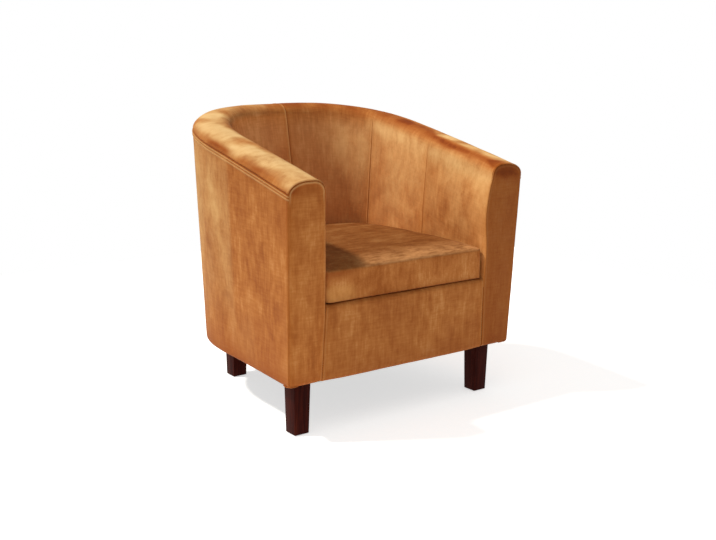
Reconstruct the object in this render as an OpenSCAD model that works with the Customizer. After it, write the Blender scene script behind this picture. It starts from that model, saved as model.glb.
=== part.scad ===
// Tub armchair: a timber and plywood frame under foam and a velvet cover,
// four screwed wooden legs and a loose box seat cushion.
// Millimetres. The front looks to -Y, +Z is up, and the floor is Z = 0.

/* [Overall shape] */
// Width across the arm fronts at the outer top seam
front_w = 714; // [640:1:780]
// Width of the tub at the outer top seam where its curve begins
side_w = 703; // [630:1:770]
// Width across the arm fronts at the lower edge of the cover
front_base_w = 692; // [620:1:760]
// Width of the tub at the lower edge where its curve begins
side_base_w = 650; // [590:1:740]
// Depth from arm front to back at the outer top seam
top_d = 664; // [600:1:740]
// How far the arm front sits back at the lower edge
front_lean = 17; // [0:1:40]
// How far the back sits in at the lower edge
back_lean = 17; // [0:1:60]
// Depth of the straight part of the arm
arm_straight_d = 311; // [240:1:350]
// Squareness of the tub's curved back, 2 is an ellipse
back_square = 2.48; // [2:0.02:3]
// Height of the outer top seam at the arm front
seam_z = 585; // [520:1:640]
// How much the top seam climbs from arm front to back
seam_rise = 125; // [40:1:180]
// How early that climb happens, 1 is a straight line
rise_bend = 1.2; // [1:0.05:1.8]

/* [Arm and back rail] */
// Thickness of the arm at the top
rail_w = 101; // [80:1:130]
// Height of the rail's crown over the outer top seam
crown_h = 30; // [16:1:40]
// Width of the rail's outer rounding
outer_round = 54; // [30:1:58]
// Width of the rail's inner rounding
inner_round = 32; // [14:1:36]
// Height of the rail's inner rounding
inner_drop = 28; // [14:1:28]
// Thickness of the arm at the height of the seat
arm_w = 102; // [84:1:130]
// Thickness of the back at the height of the seat
back_w = 153; // [120:1:180]
// Width of the arm front at the lower edge
arm_base_w = 93; // [80:1:120]
// Height of the wall's inner face over the lower edge before it leans
upright_h = 265; // [240:1:300]

/* [Cover and padding] */
// Thickness of the velvet cover with its backing
cover_t = 2.5; // [1.5:0.1:4]
// Lay gap between neighbouring soft layers
lay = 0.3; // [0.2:0.05:0.6]
// Thickness of the foam inside arms and back
wall_foam_t = 40; // [20:1:50]
// Thickness of the foam on arm fronts and front rail
front_foam_t = 8; // [4:1:14]
// Width of cover folded under the frame
turn_in = 26; // [14:1:40]
// Thickness of the outside lining board
outer_board_t = 3; // [2:0.5:5]
// Thickness of the inside lining board
inner_board_t = 3; // [2:0.5:5]
// Thickness of the underside dust cover
dust_t = 1; // [0.6:0.1:2]

/* [Frame] */
// Gap from the lining boards to the frame
frame_gap = 0.8; // [0.7:0.1:1.5]
// Thickness of the plywood rings
ring_t = 18; // [12:1:24]
// Width of the lower plywood ring
ring_w = 95; // [80:1:110]
// Thickness of the plywood ribs in the wall
rib_t = 18; // [12:1:24]
// Depth of the short ribs between the rings
low_rib_d = 70; // [40:1:85]
// Height of the timber under the rail's crown
top_rail_h = 25; // [18:1:35]
// Thickness of the plywood arm front board
front_board_t = 18; // [12:1:24]
// Thickness of the front rail
front_rail_t = 25; // [18:1:30]
// Size of a square corner block
block_w = 62; // [48:1:68]
// Height of a corner block
block_h = 22; // [16:1:40]

/* [Seat] */
// Top of the seat ring over the floor
seat_ring_z = 296; // [270:1:320]
// Half width of the spring opening in the seat ring
well_half_w = 226; // [190:1:236]
// Distance from the back's inner face to the spring opening
well_back_set = 52.4; // [44:0.1:90]
// Corner radius of the spring opening
well_r = 90; // [40:1:140]
// Number of spring wires across the seat
spring_n = 5; // [4:1:6]
// Diameter of the spring wire
spring_wire_d = 3.8; // [3:0.1:4.5]
// Thickness of the strip of a spring's clip
clip_t = 1.2; // [0.8:0.1:2]
// Width of a spring over its loops
spring_w = 48; // [36:1:56]
// Pitch of the spring's loops
spring_pitch = 21; // [18:1:28]
// Thickness of the deck hessian
hessian_t = 1; // [0.6:0.1:2]
// Thickness of the deck pad
deck_pad_t = 14.8; // [8:0.2:20]
// Thickness of the deck cloth
deck_cloth_t = 1.6; // [1:0.1:3]

/* [Seat cushion] */
// Height of the cushion's side band
cushion_h = 78; // [50:1:100]
// Height of the cushion's crown over its side band
cushion_crown = 17; // [6:1:28]
// How far the side band draws in between its seams
cushion_draw = 4; // [0:0.5:8]
// Gap from the cushion to the arms and back
cushion_gap = 6; // [5:0.5:14]
// How far the cushion's front sits behind the arm front
cushion_set = 1; // [0:0.5:20]
// Corner radius of the cushion's front
cushion_r = 14; // [8:1:50]
// Thickness of the cushion's cover
cushion_cover_t = 3; // [2:0.5:5]

/* [Legs] */
// Height of the cover's lower edge over the floor
leg_h = 135; // [100:1:170]
// Side of the square foot of a leg
foot_w = 40; // [30:1:44]
// Side of the square top of a leg
leg_top_w = 46; // [36:1:48]
// Distance from the lower front edge to the front legs
leg_front_set = 35; // [28:1:50]
// Distance from the lower side edge to the front legs
leg_side_set = 40; // [30:1:60]
// Distance from the lower back edge to the back legs
back_leg_set = 83; // [65:1:100]
// Distance from the lower side edge, where it begins to curve, to the back legs
back_leg_side_set = 129; // [115:1:145]
// Thickness of the glide under a leg
glide_t = 2; // [1.5:0.5:6]
// Diameter of the glide
glide_d = 22; // [16:1:28]
// Diameter of the hanger bolt
bolt_d = 8; // [6:1:10]
// Length of the hanger bolt inside the leg
bolt_in_leg = 38; // [25:1:60]
// Diameter of the nut flange
nut_d = 22; // [18:1:26]

/* [Hidden] */
velvet = "#B3743A";
velvet_deep = "#9C5E2C";
dark_wood = "#45211B";
timber = "#D9B98A";
plywood = "#CDA873";
foam = "#EFE6B8";
wadding = "#F2F0EA";
steel = "#A9ACB0";

// The crown of the arm front leans this far past the seam, and the whole is centred front to back
crown_lean = front_lean * crown_h / (seam_z - leg_h);
y_front = (crown_lean - top_d) / 2;
y_front_base = y_front + front_lean;
y_curve = y_front + arm_straight_d;
y_back = y_front + top_d;
y_back_base = y_back - back_lean;
// Share of the half outline that is straight
straight_share = 0.4;
curve_exp = 2 / back_square;
// Stations on the straight part and on the curve of one half
straight_steps = 4;
curve_steps = 12;
// The inner face of the wall is upright up to here
seat_z = leg_h + upright_h;
// A spring's end lies in its clip, and the deck lies on the clips
spring_z = seat_ring_z + clip_t + lay;
clip_h = clip_t + lay + spring_wire_d + lay + clip_t;
hessian_z = seat_ring_z + clip_h + lay;
deck_pad_z = hessian_z + hessian_t + lay;
deck_cloth_z = deck_pad_z + deck_pad_t + lay;
deck_top_z = deck_cloth_z + deck_cloth_t;
cushion_z = deck_top_z + lay;
// Depths in the wall, measured inwards from its outer face
board_q = cover_t + lay;
frame_q = board_q + outer_board_t + frame_gap;
foam_q = cover_t + lay;
lining_q = foam_q + wall_foam_t + lay;
rib_q = lining_q + inner_board_t + frame_gap;
// Heights in the base
ring_z = leg_h + cover_t + lay;
ring_top_z = ring_z + ring_t;
seat_ring_low_z = seat_ring_z - ring_t;
nut_flange_t = 2;
nut_barrel_h = 12;
nut_barrel_d = bolt_d + 2.5;
bolt_clear = 0.25;
// The bolt ends this far under the top of its nut
bolt_short = 2;
// The nail under a glide
nail_d = 5;
nail_l = 12;
// Seams between the inner cover panels, in steps from the middle of the back
corner_seam = step_station(8);
arm_seam = step_station(13);
// Seam of the outside cover behind the arm
outside_seam = step_station(6);
// Stations of the wall's ribs, from the middle of the back to the arm, clear of the corner blocks
rib_stations = [for (i = [0, 3, 7, 10, 14]) step_station(i)];
// Joint between the back's top rail and an arm's
rail_joint = step_station(7);
front_layers = cover_t + lay + front_foam_t + lay;
front_stack = front_layers + front_board_t + lay;

function mix(a, b, t) = a + (b - a) * t;
function clamp01(t) = min(1, max(0, t));
function curve_angle(m) = 90 * max(0, m - straight_share) / (1 - straight_share);

// Half outline of the wall at the seam (top) or at the lower edge, m runs from front to back
function plan(m, top) =
    let (
        w0 = (top ? front_w : front_base_w) / 2,
        w1 = (top ? side_w : side_base_w) / 2,
        y0 = top ? y_front : y_front_base,
        y2 = top ? y_back : y_back_base,
        f = m / straight_share,
        a = curve_angle(m)
    )
    m < straight_share
        ? [mix(w0, w1, f), mix(y0, y_curve, f)]
        : [w1 * pow(max(0, cos(a)), curve_exp), y_curve + (y2 - y_curve) * pow(sin(a), curve_exp)];

// Unit vector that points into the wall, square to the top outline
function inward(m) =
    let (
        a = curve_angle(m),
        k = 2 - curve_exp,
        v = [pow(max(0, cos(a)), k) / (side_w / 2), pow(sin(a), k) / (y_back - y_curve)]
    )
    -v / norm(v);

// Height of the outer top seam at a station
function seam_height(m) =
    let (u = clamp01((plan(m, true).y - y_front) / top_d))
    seam_z + seam_rise * (1 - pow(1 - u, rise_bend));

// Point in the wall: station s from -1 (left arm front) to 1, depth q, height z
function wall_point(s, q, z) =
    let (
        m = 1 - abs(s),
        t = (z - leg_h) / (seam_height(m) - leg_h),
        p = plan(m, false) * (1 - t) + plan(m, true) * t + inward(m) * q
    )
    [(s < 0 ? -1 : 1) * p.x, p.y, z];

// Stations from s0 to s1 that follow the same even steps wherever they begin
half_steps = straight_steps + curve_steps;
function step_station(i) =
    let (k = abs(i), c = curve_steps)
    (i < 0 ? -1 : 1) * (k <= c ? (1 - straight_share) * k / c
        : mix(1 - straight_share, 1, (k - c) / straight_steps));
function stations(s0, s1) = concat(
    [s0],
    [for (i = [-half_steps:half_steps]) let (s = step_station(i)) if (s > s0 + 0.012 && s < s1 - 0.012) s],
    [s1]
);
// Station that lies d behind the arm front
function behind_front(d) = 1 - straight_share * d / arm_straight_d;

// Thickness of the wall where the cushion meets it, and at any height above
function seat_w(m) = arm_w + (back_w - arm_w) * pow(inward(m).y, 2);
function face_q(m, z) =
    let (top = seam_height(m) + crown_h - inner_drop)
    mix(seat_w(m), rail_w, clamp01((z - seat_z) / (top - seat_z)));

// The crown of the rail in section, inset by d: outer rounding, flat, inner rounding
outer_arc_steps = 5;
inner_arc_steps = 4;
function crown(m, d) =
    let (z0 = seam_height(m))
    concat(
        [for (i = [0:outer_arc_steps]) let (a = 90 * i / outer_arc_steps)
            [outer_round - (outer_round - d) * cos(a), z0 + (crown_h - d) * sin(a)]],
        [for (i = [0:inner_arc_steps]) let (a = 90 * i / inner_arc_steps)
            [rail_w - inner_round + (inner_round - d) * sin(a),
             z0 + crown_h - inner_drop + (inner_drop - d) * cos(a)]]
    );

// Solid along the wall between two stations. The section is a list of [depth, height] points.
// Each face is split from its low front corner to its high back corner, so that layers stay parallel
module wall_solid(ring) {
    n = len(ring);
    k = len(ring[0]);
    points = [for (r = ring) each r];
    sides = [for (i = [0:n - 2], j = [0:k - 1])
        let (
            a = i * k + j,
            b = i * k + (j + 1) % k,
            c = a + k,
            d = b + k,
            to_back = points[c].y > points[a].y,
            rising = points[b].z > points[a].z
        )
        each (to_back == rising ? [[a, c, d], [a, d, b]] : [[a, c, b], [b, c, d]])];
    // The ends are cut into triangles between the section's first points and its last ones
    cap = [for (j = [0:floor((k - 3) / 2)])
        each concat(
            [[j, j + 1, k - 1 - j]],
            j + 1 < k - 2 - j ? [[j + 1, k - 2 - j, k - 1 - j]] : []
        )];
    end = (n - 1) * k;
    far_cap = [for (c = cap) [end + c[2], end + c[1], end + c[0]]];
    polyhedron(points, concat(sides, cap, far_cap), convexity = 8);
}
// Closed section between two faces that are listed in the same order
function strip(outer, inner) = concat(outer, [for (i = [len(inner) - 1:-1:0]) inner[i]]);

// A section's points in one turning sense: 1 is clockwise with the second axis up
function turned(section, sense) =
    let (
        n = len(section),
        strips = [for (i = [0:n - 1])
            let (a = section[i], b = section[(i + 1) % n])
            (b.x - a.x) * (b.y + a.y)],
        area = strips * [for (i = [0:n - 1]) 1]
    )
    area * sense > 0 ? section : [for (i = [n - 1:-1:0]) section[i]];
function on_wall(s, section) = [for (p = turned(section, 1)) wall_point(s, p.x, p.y)];

// Points at equal steps from a to b, without b
face_steps = 3;
function steps(a, b) = [for (i = [0:face_steps - 1]) mix(a, b, i / face_steps)];

// Covers of the wall: a face at depth q behind the cover's outside
function outside_face(m, q) =
    let (z0 = seam_height(m))
    concat([[turn_in, leg_h + q]], steps([q, leg_h + q], [q, z0]), [[q, z0]]);
function outside_section(m) = strip(outside_face(m, 0), outside_face(m, cover_t));
module outside_cover(s0, s1)
    wall_solid([for (s = stations(s0, s1)) on_wall(s, outside_section(1 - abs(s)))]);

function inside_face(m, q) =
    let (o = crown(m, q), last = len(o) - 1, w = seat_w(m) - q)
    concat(
        [o[0] + [0, lay]], [for (k = [1:last - 1]) o[k]],
        steps(o[last], [w, seat_z]), [[w, seat_z], [w, seat_ring_z + lay]]
    );
function inside_section(m) = strip(inside_face(m, 0), inside_face(m, cover_t));
module inside_cover(s0, s1)
    wall_solid([for (s = stations(s0, s1)) on_wall(s, inside_section(1 - abs(s)))]);

// Layers behind the covers
function lining_face(m, q) =
    let (z0 = seam_height(m) - lay)
    concat(steps([q, leg_h + cover_t + lay], [q, z0]), [[q, z0]]);
function lining_section(m) = strip(lining_face(m, board_q), lining_face(m, board_q + outer_board_t));
function layer_face(m, q) =
    let (w = seat_w(m) - q, top = seam_height(m), wt = face_q(m, top) - q)
    concat([[w, seat_ring_z + lay]], steps([w, seat_z], [wt, top]), [[wt, top]]);
function layer_section(m, q0, q1) = strip(layer_face(m, q1), layer_face(m, q0));
function wadding_section(m) =
    let (a = crown(m, foam_q), z0 = seam_height(m) + lay, w = face_q(m, z0))
    concat([[a[0].x, z0]], [for (k = [1:len(a) - 1]) a[k]], [[w - foam_q, z0]]);
function top_rail_section(m) =
    let (z1 = seam_height(m), z0 = z1 - top_rail_h, q = face_q(m, z1) - rib_q)
    [[frame_q, z0], [q, z0], [q, z1], [frame_q, z1]];
module layer(s0, s1, q0, q1)
    wall_solid([for (s = stations(s0, s1)) on_wall(s, layer_section(1 - abs(s), q0, q1))]);

module rail_wadding(s0, s1)
    wall_solid([for (s = stations(s0, s1)) on_wall(s, wadding_section(1 - abs(s)))]);
module top_rail(s0, s1)
    wall_solid([for (s = stations(s0, s1)) on_wall(s, top_rail_section(1 - abs(s)))]);

// A rib is a plywood plate that stands across the wall, half its thickness each side of station s
rib_half = straight_share * rib_t / 2 / arm_straight_d;
rib_all = concat([for (i = [len(rib_stations) - 1:-1:1]) -rib_stations[i]], rib_stations);

// Outline of an arm front, inset by d, from the lower edge to the crown
function front_arm_w(z) = mix(arm_base_w, arm_w, (z - leg_h) / (seat_ring_z - leg_h));
function arm_front_section(d, low) = concat(
    [[d, low]], crown(0, d),
    [[arm_w - d, seat_z], [arm_w - d, seat_ring_z], [front_arm_w(low) - d, low]]
);
module arm_front(side, d, low, depth, t)
    wall_solid([
        for (y = side < 0 ? [depth, depth + t] : [depth + t, depth])
            on_wall(side * behind_front(y), arm_front_section(d, low))
    ]);

// Front face of the arm fronts and the front rail at a height
function front_y(z) = mix(y_front_base, y_front, (z - leg_h) / (seam_z - leg_h));
// Inner edge of an arm front, where the front rail's cover begins
function front_half(z) = mix(
    wall_point(1, arm_base_w, leg_h).x, wall_point(1, arm_w, seat_ring_z).x,
    (z - leg_h) / (seat_ring_z - leg_h)
);
// The arms close in towards the back by this much for each millimetre
arm_taper = (front_base_w - side_base_w) / 2 / arm_straight_d;
// Solid across the front between the arms, from a section of [y, z] points
module front_solid(section, gap)
    wall_solid([
        for (side = [-1, 1])
            [for (p = turned(section, -1))
                [side * (front_half(p.y) - gap - arm_taper * (p.x - front_y(p.y))), p.x, p.y]]
    ]);
front_top_z = deck_cloth_z - lay;
nose_r = 14;
nose_steps = 4;
function front_edge(d) =
    let (y0 = front_y(front_top_z - nose_r))
    [for (i = [0:nose_steps]) let (a = 90 * i / nose_steps)
        [y0 + nose_r - (nose_r - d) * cos(a), front_top_z - nose_r + (nose_r - d) * sin(a)]];

// Legs: centre of each foot and the bolt over it
front_leg_x = front_base_w / 2 - leg_side_set - foot_w / 2;
front_leg_y = y_front_base + leg_front_set + foot_w / 2;
back_leg_x = side_base_w / 2 - back_leg_side_set - foot_w / 2;
back_leg_y = y_back_base - back_leg_set - foot_w / 2;
leg_places = [
    [-front_leg_x, front_leg_y], [front_leg_x, front_leg_y],
    [-back_leg_x, back_leg_y], [back_leg_x, back_leg_y]
];
leg_top_z = ring_z;
module at_legs() for (p = leg_places) translate([p.x, p.y, 0]) children();

module ring_outline(z, q0, q1) {
    line = stations(-wall_end, wall_end);
    outer = [for (s = line) wall_point(s, q0, z)];
    inner = [for (i = [len(line) - 1:-1:0]) wall_point(line[i], q1, z)];
    polygon([for (p = concat(outer, inner)) [p.x, p.y]]);
}
// Plan of the space inside the wall at the seat, inset by gap and cut off at y_start
function seat_plan(gap, y_start) = [
    for (s = stations(-1, 1))
        let (m = 1 - abs(s), p = wall_point(s, seat_w(m) + gap, seat_ring_z))
        [p.x, max(p.y, y_start)]
];

// The plywood ring that the lining, ribs and legs stand on
module lower_ring() color(plywood)
    difference() {
        translate([0, 0, ring_z]) linear_extrude(ring_t) ring_outline(ring_z, frame_q, ring_w);
        rail_space();
        translate([0, 0, ring_z - 1]) at_legs()
            cylinder(d = bolt_d + 2 * bolt_clear, h = ring_t + 2, $fn = 48);
    }

// The plywood ring that carries springs, foam and inside lining
module seat_ring() color(plywood)
    difference() {
        translate([0, 0, seat_ring_low_z]) linear_extrude(ring_t)
            difference() {
                polygon([for (s = stations(-wall_end, wall_end))
                    let (p = wall_point(s, frame_q, seat_ring_low_z)) [p.x, p.y]]);
                well();
            }
        rail_space();
    }
// Both rings stop at the front rail
module rail_space()
    translate([-rail_half - lay, y_front, ring_z - 1])
        cube([2 * (rail_half + lay), front_rail_y + front_rail_t - y_front, seat_ring_z]);
well_y1 = wall_point(0, back_w, seat_ring_z).y - well_back_set;
module well() {
    depth = well_y1 - front_rail_y;
    translate([-well_half_w, front_rail_y]) square([2 * well_half_w, depth - well_r]);
    translate([-well_half_w + well_r, front_rail_y]) square([2 * (well_half_w - well_r), depth]);
    for (side = [-1, 1])
        translate([side * (well_half_w - well_r), well_y1 - well_r]) circle(r = well_r, $fn = 64);
}

// The rail stands behind the lower edge's foam, between the arm front boards
front_rail_y = y_front_base + front_layers;
rail_half = front_half(seat_ring_z);
module front_rail() color(timber)
    translate([-rail_half, front_rail_y, ring_z]) cube([2 * rail_half, front_rail_t, seat_ring_z - ring_z]);

module corner_blocks() color(timber)
    difference() {
        intersection() {
            at_legs() translate([-block_w / 2, -block_w / 2, ring_top_z]) cube([block_w, block_w, block_h]);
            translate([-front_w / 2, front_rail_y + front_rail_t + lay, ring_top_z])
                cube([front_w, top_d, block_h]);
        }
        at_legs() translate([0, 0, ring_top_z - 1]) cylinder(d = nut_barrel_d, h = block_h + 2, $fn = 48);
    }

low_rib_section = [
    [frame_q, ring_top_z], [low_rib_d, ring_top_z],
    [low_rib_d, seat_ring_low_z], [frame_q, seat_ring_low_z]
];
module lower_ribs() color(plywood)
    for (s = rib_all)
        wall_solid([for (e = [s - rib_half, s + rib_half]) on_wall(e, low_rib_section)]);
function upper_rib_section(m) =
    let (top = seam_height(m) - top_rail_h - lay, w = seat_w(m) - rib_q, wt = face_q(m, top) - rib_q)
    [[frame_q, seat_ring_z], [w, seat_ring_z], [w, seat_z], [wt, top], [frame_q, top]];
module upper_ribs() color(plywood)
    for (s = rib_all)
        wall_solid([for (e = [s - rib_half, s + rib_half]) on_wall(e, upper_rib_section(1 - abs(e)))]);

// The board stops short of its cover at the edges, where the covers are sewn together
module arm_front_board(side) color(plywood)
    arm_front(side, foam_q, leg_h + cover_t + lay, front_layers, front_board_t);
module arm_front_board_left() arm_front_board(-1);
module arm_front_board_right() arm_front_board(1);
module arm_front_pad(side) color(foam)
    arm_front(side, foam_q, leg_h + cover_t + lay, cover_t + lay, front_foam_t);
module arm_front_pad_left() arm_front_pad(-1);
module arm_front_pad_right() arm_front_pad(1);
module arm_front_cover(side) color(velvet)
    arm_front(side, 0, leg_h, 0, cover_t);
module arm_front_cover_left() arm_front_cover(-1);
module arm_front_cover_right() arm_front_cover(1);

wall_end = behind_front(front_stack);
cover_end = behind_front(cover_t);
module arm_top_rail_left() color(timber) top_rail(-wall_end, -rail_joint);
module arm_top_rail_right() color(timber) top_rail(rail_joint, wall_end);
module back_top_rail() color(timber) top_rail(-rail_joint, rail_joint);

module outside_lining() color("#B79B6C")
    wall_solid([for (s = stations(-wall_end, wall_end)) on_wall(s, lining_section(1 - abs(s)))]);
module inside_lining() color("#C9AE82") layer(-wall_end, wall_end, lining_q, lining_q + inner_board_t);
module arm_foam_left() color(foam) layer(-wall_end, -corner_seam, foam_q, foam_q + wall_foam_t);
module arm_foam_right() color(foam) layer(corner_seam, wall_end, foam_q, foam_q + wall_foam_t);
module back_foam() color(foam) layer(-corner_seam, corner_seam, foam_q, foam_q + wall_foam_t);
module rail_wadding_left() color(wadding) rail_wadding(-wall_end, -corner_seam);
module rail_wadding_right() color(wadding) rail_wadding(corner_seam, wall_end);
module rail_wadding_back() color(wadding) rail_wadding(-corner_seam, corner_seam);

module outside_cover_left() color(velvet) outside_cover(-cover_end, -outside_seam);
module outside_cover_right() color(velvet) outside_cover(outside_seam, cover_end);
module outside_cover_back() color(velvet) outside_cover(-outside_seam, outside_seam);
module arm_cover_left() color(velvet) inside_cover(-cover_end, -arm_seam);
module arm_cover_right() color(velvet) inside_cover(arm_seam, cover_end);
module side_cover_left() color(velvet_deep) inside_cover(-arm_seam, -corner_seam);
module side_cover_right() color(velvet_deep) inside_cover(corner_seam, arm_seam);
module back_cover_left() color(velvet) inside_cover(-corner_seam, 0);
module back_cover_right() color(velvet) inside_cover(0, corner_seam);

// The front rail's cover folds under the rail and runs back over it to the deck cloth
function front_face(d) = concat(
    [[y_front_base + turn_in, leg_h + d], [y_front_base + d, leg_h + d]],
    front_edge(d), [[front_rail_y + front_rail_t, front_top_z - d]]
);
module front_rail_cover() color(velvet) front_solid(strip(front_face(0), front_face(cover_t)), lay);
// The pad lies before the rail and, over the springs' ends, on top of it
function front_pad_face() = concat(
    [[front_y(ring_z) + foam_q, ring_z]], front_edge(foam_q),
    [[front_rail_y + front_rail_t, front_top_z - foam_q]]
);
function front_pad_back() = concat(
    [for (i = [0:nose_steps + 1]) [front_rail_y - lay, mix(ring_z, hessian_z, i / (nose_steps + 1))]],
    [[front_rail_y + front_rail_t, hessian_z]]
);
module front_rail_pad() color(foam) front_solid(strip(front_pad_face(), front_pad_back()), foam_q);

// Zigzag springs run from the front rail to the back of the seat ring
spring_y0 = front_rail_y + front_rail_t / 2;
clip_set = 12;
spring_y1 = well_y1 + clip_set;
spring_loops = floor((spring_y1 - spring_y0) / spring_pitch);
spring_step = (spring_y1 - spring_y0) / spring_loops;
spring_edge = 20;
spring_gap = 2 * (well_half_w - spring_edge) / spring_n;
function spring_x(i) = (i - (spring_n - 1) / 2) * spring_gap;
module spring_flat() {
    arc_r = spring_step / 2;
    arm = spring_w - 2 * arc_r - spring_wire_d;
    for (i = [0:spring_loops])
        let (from = i == 0 || i == spring_loops ? -spring_w / 4 : -arm / 2)
        translate([from, i * spring_step - spring_wire_d / 2]) square([arm / 2 - from, spring_wire_d]);
    for (i = [0:spring_loops - 1])
        translate([(i % 2 == 0 ? 1 : -1) * arm / 2, (i + 0.5) * spring_step])
            difference() {
                circle(r = arc_r + spring_wire_d / 2, $fn = 32);
                circle(r = arc_r - spring_wire_d / 2, $fn = 32);
                translate([i % 2 == 0 ? -2 * arc_r : 0, -2 * arc_r]) square([2 * arc_r, 4 * arc_r]);
            }
}
module seat_springs() color(steel)
    for (i = [0:spring_n - 1])
        translate([spring_x(i), spring_y0, spring_z]) linear_extrude(spring_wire_d) spring_flat();

clip_w = 12;
clip_l = 14;
module spring_clips() color(steel)
    for (i = [0:spring_n - 1]) {
        translate([spring_x(i), spring_y0, seat_ring_z]) clip();
        translate([spring_x(i), spring_y1, seat_ring_z]) mirror([0, 1, 0]) clip();
    }
// A clip is a strip folded round the spring's end wire, open towards the seat
module clip()
    translate([-clip_w / 2, -spring_wire_d / 2 - lay - clip_t, 0])
        difference() {
            cube([clip_w, clip_l, clip_h]);
            translate([-1, clip_t, clip_t]) cube([clip_w + 2, clip_l, clip_h - 2 * clip_t]);
        }

deck_y0 = front_rail_y + front_rail_t + lay;
module deck_plate(gap, z, t, y_start)
    translate([0, 0, z]) linear_extrude(t) polygon(seat_plan(gap, y_start));
module deck_hessian() color("#B08D57") deck_plate(3, hessian_z, hessian_t, deck_y0);
module deck_pad() color(wadding) deck_plate(2, deck_pad_z, deck_pad_t, deck_y0);
module deck_cloth() color("#6B4A2E") deck_plate(1, deck_cloth_z, deck_cloth_t, front_rail_y);

// Cambric under the frame, cut out round the leg tops
module dust_cover() color("#1D1B1B")
    difference() {
        translate([0, 0, leg_h - dust_t]) linear_extrude(dust_t) dust_outline();
        at_legs() translate([-dust_cut / 2, -dust_cut / 2, leg_h - dust_t - 1])
            cube([dust_cut, dust_cut, dust_t + 2]);
    }
dust_cut = leg_top_w + 2;
dust_edge = 12;
module dust_outline() {
    polygon([for (i = [-half_steps:half_steps])
        let (p = wall_point(step_station(i), dust_edge, leg_h))
        [p.x, p.y + (abs(i) == half_steps ? dust_edge : 0)]]);
}

// A leg is square and tapers to its foot, with a bore for its hanger bolt
module leg(i) color(dark_wood)
    translate([leg_places[i].x, leg_places[i].y, 0])
        difference() {
            leg_taper();
            translate([0, 0, leg_top_z - bolt_in_leg]) cylinder(d = bolt_d, h = bolt_in_leg + 1, $fn = 48);
            translate([0, 0, glide_t - 1]) cylinder(d = nail_d, h = nail_l + 1, $fn = 32);
        }
module leg_taper() {
    corners = [[1, 1], [-1, 1], [-1, -1], [1, -1]];
    wall_solid([for (l = [[glide_t, foot_w / 2], [leg_top_z, leg_top_w / 2]])
        [for (c = corners) [c.x * l[1], c.y * l[1], l[0]]]]);
}
module front_leg_left() leg(0);
module front_leg_right() leg(1);
module back_leg_left() leg(2);
module back_leg_right() leg(3);

bolt_top_z = ring_top_z + block_h - bolt_short;
module hanger_bolts() color(steel)
    at_legs() translate([0, 0, leg_top_z - bolt_in_leg])
        cylinder(d = bolt_d, h = bolt_top_z - leg_top_z + bolt_in_leg, $fn = 48);
module tee_nuts() color(steel)
    at_legs() difference() {
        union() {
            translate([0, 0, ring_top_z + block_h]) cylinder(d = nut_d, h = nut_flange_t, $fn = 48);
            translate([0, 0, ring_top_z + block_h - nut_barrel_h])
                cylinder(d = nut_barrel_d, h = nut_barrel_h + 1, $fn = 48);
        }
        translate([0, 0, ring_top_z + block_h - nut_barrel_h - 1])
            cylinder(d = bolt_d, h = nut_barrel_h + nut_flange_t + 2, $fn = 48);
    }
// A glide is a round plastic foot on a nail that sits in the leg's pilot bore
module leg_glides() color("#2A2A2C")
    at_legs() {
        cylinder(d = glide_d, h = glide_t, $fn = 48);
        translate([0, 0, glide_t - 1]) cylinder(d = nail_d, h = nail_l + 1, $fn = 32);
    }

// Seat cushion: the outline follows the wall, the front is straight with round corners
cushion_front_y = front_y(cushion_z) + cushion_set;
cushion_arc = 4;
cushion_back = 30;
// Share of the wall's stations that the cushion's sides and back follow
cushion_share = 0.86;
cushion_half_w = wall_point(1, arm_w, seat_z).x - cushion_gap;
function cushion_outline(d) = concat(
    [for (i = [0:cushion_arc]) let (a = 90 * i / cushion_arc)
        [cushion_half_w - cushion_r + (cushion_r - d) * sin(a),
         cushion_front_y + cushion_r - (cushion_r - d) * cos(a)]],
    [for (i = [1:cushion_back - 1])
        let (
            s = cushion_share * (1 - 2 * i / cushion_back),
            p = wall_point(s, seat_w(1 - abs(s)) + cushion_gap + d, seat_z)
        )
        [min(cushion_half_w - d, max(d - cushion_half_w, p.x)), p.y]],
    [for (i = [cushion_arc:-1:0]) let (a = 90 * i / cushion_arc)
        [-cushion_half_w + cushion_r - (cushion_r - d) * sin(a),
         cushion_front_y + cushion_r - (cushion_r - d) * cos(a)]]
);
cushion_mid_y = (cushion_front_y + y_back - back_w) / 2;
// Level rings of a cushion that is inset by d: crown above and below a drawn in band
band_steps = 4;
edge_lift = 2;
crown_rings = [1, 0.94, 0.82, 0.64, 0.42, 0.2];
function cushion_ring(d, z, scale_in) =
    [for (p = cushion_outline(d)) [p.x * scale_in, mix(cushion_mid_y, p.y, scale_in), z]];
function crown_lift(f) = pow(clamp01(1 - f * f), 0.6);
function cushion_rings(d) =
    let (low = cushion_z + d, high = cushion_z + cushion_h - d)
    concat(
        [for (i = [len(crown_rings) - 1:-1:1]) cushion_ring(d, low, crown_rings[i])],
        [for (i = [0:band_steps]) let (f = i / band_steps)
            cushion_ring(d + cushion_draw * sin(180 * f), mix(low + (i == 0 ? edge_lift : 0), high, f), 1)],
        [for (i = [1:len(crown_rings) - 1])
            cushion_ring(d, high + cushion_crown * crown_lift(crown_rings[i]), crown_rings[i])]
    );
module cushion_solid(d) wall_solid(cushion_rings(d));
module cushion_cover() color(velvet)
    difference() {
        cushion_solid(0);
        cushion_solid(cushion_cover_t);
    }
module cushion_core() color(foam) cushion_solid(cushion_cover_t + lay);

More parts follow.
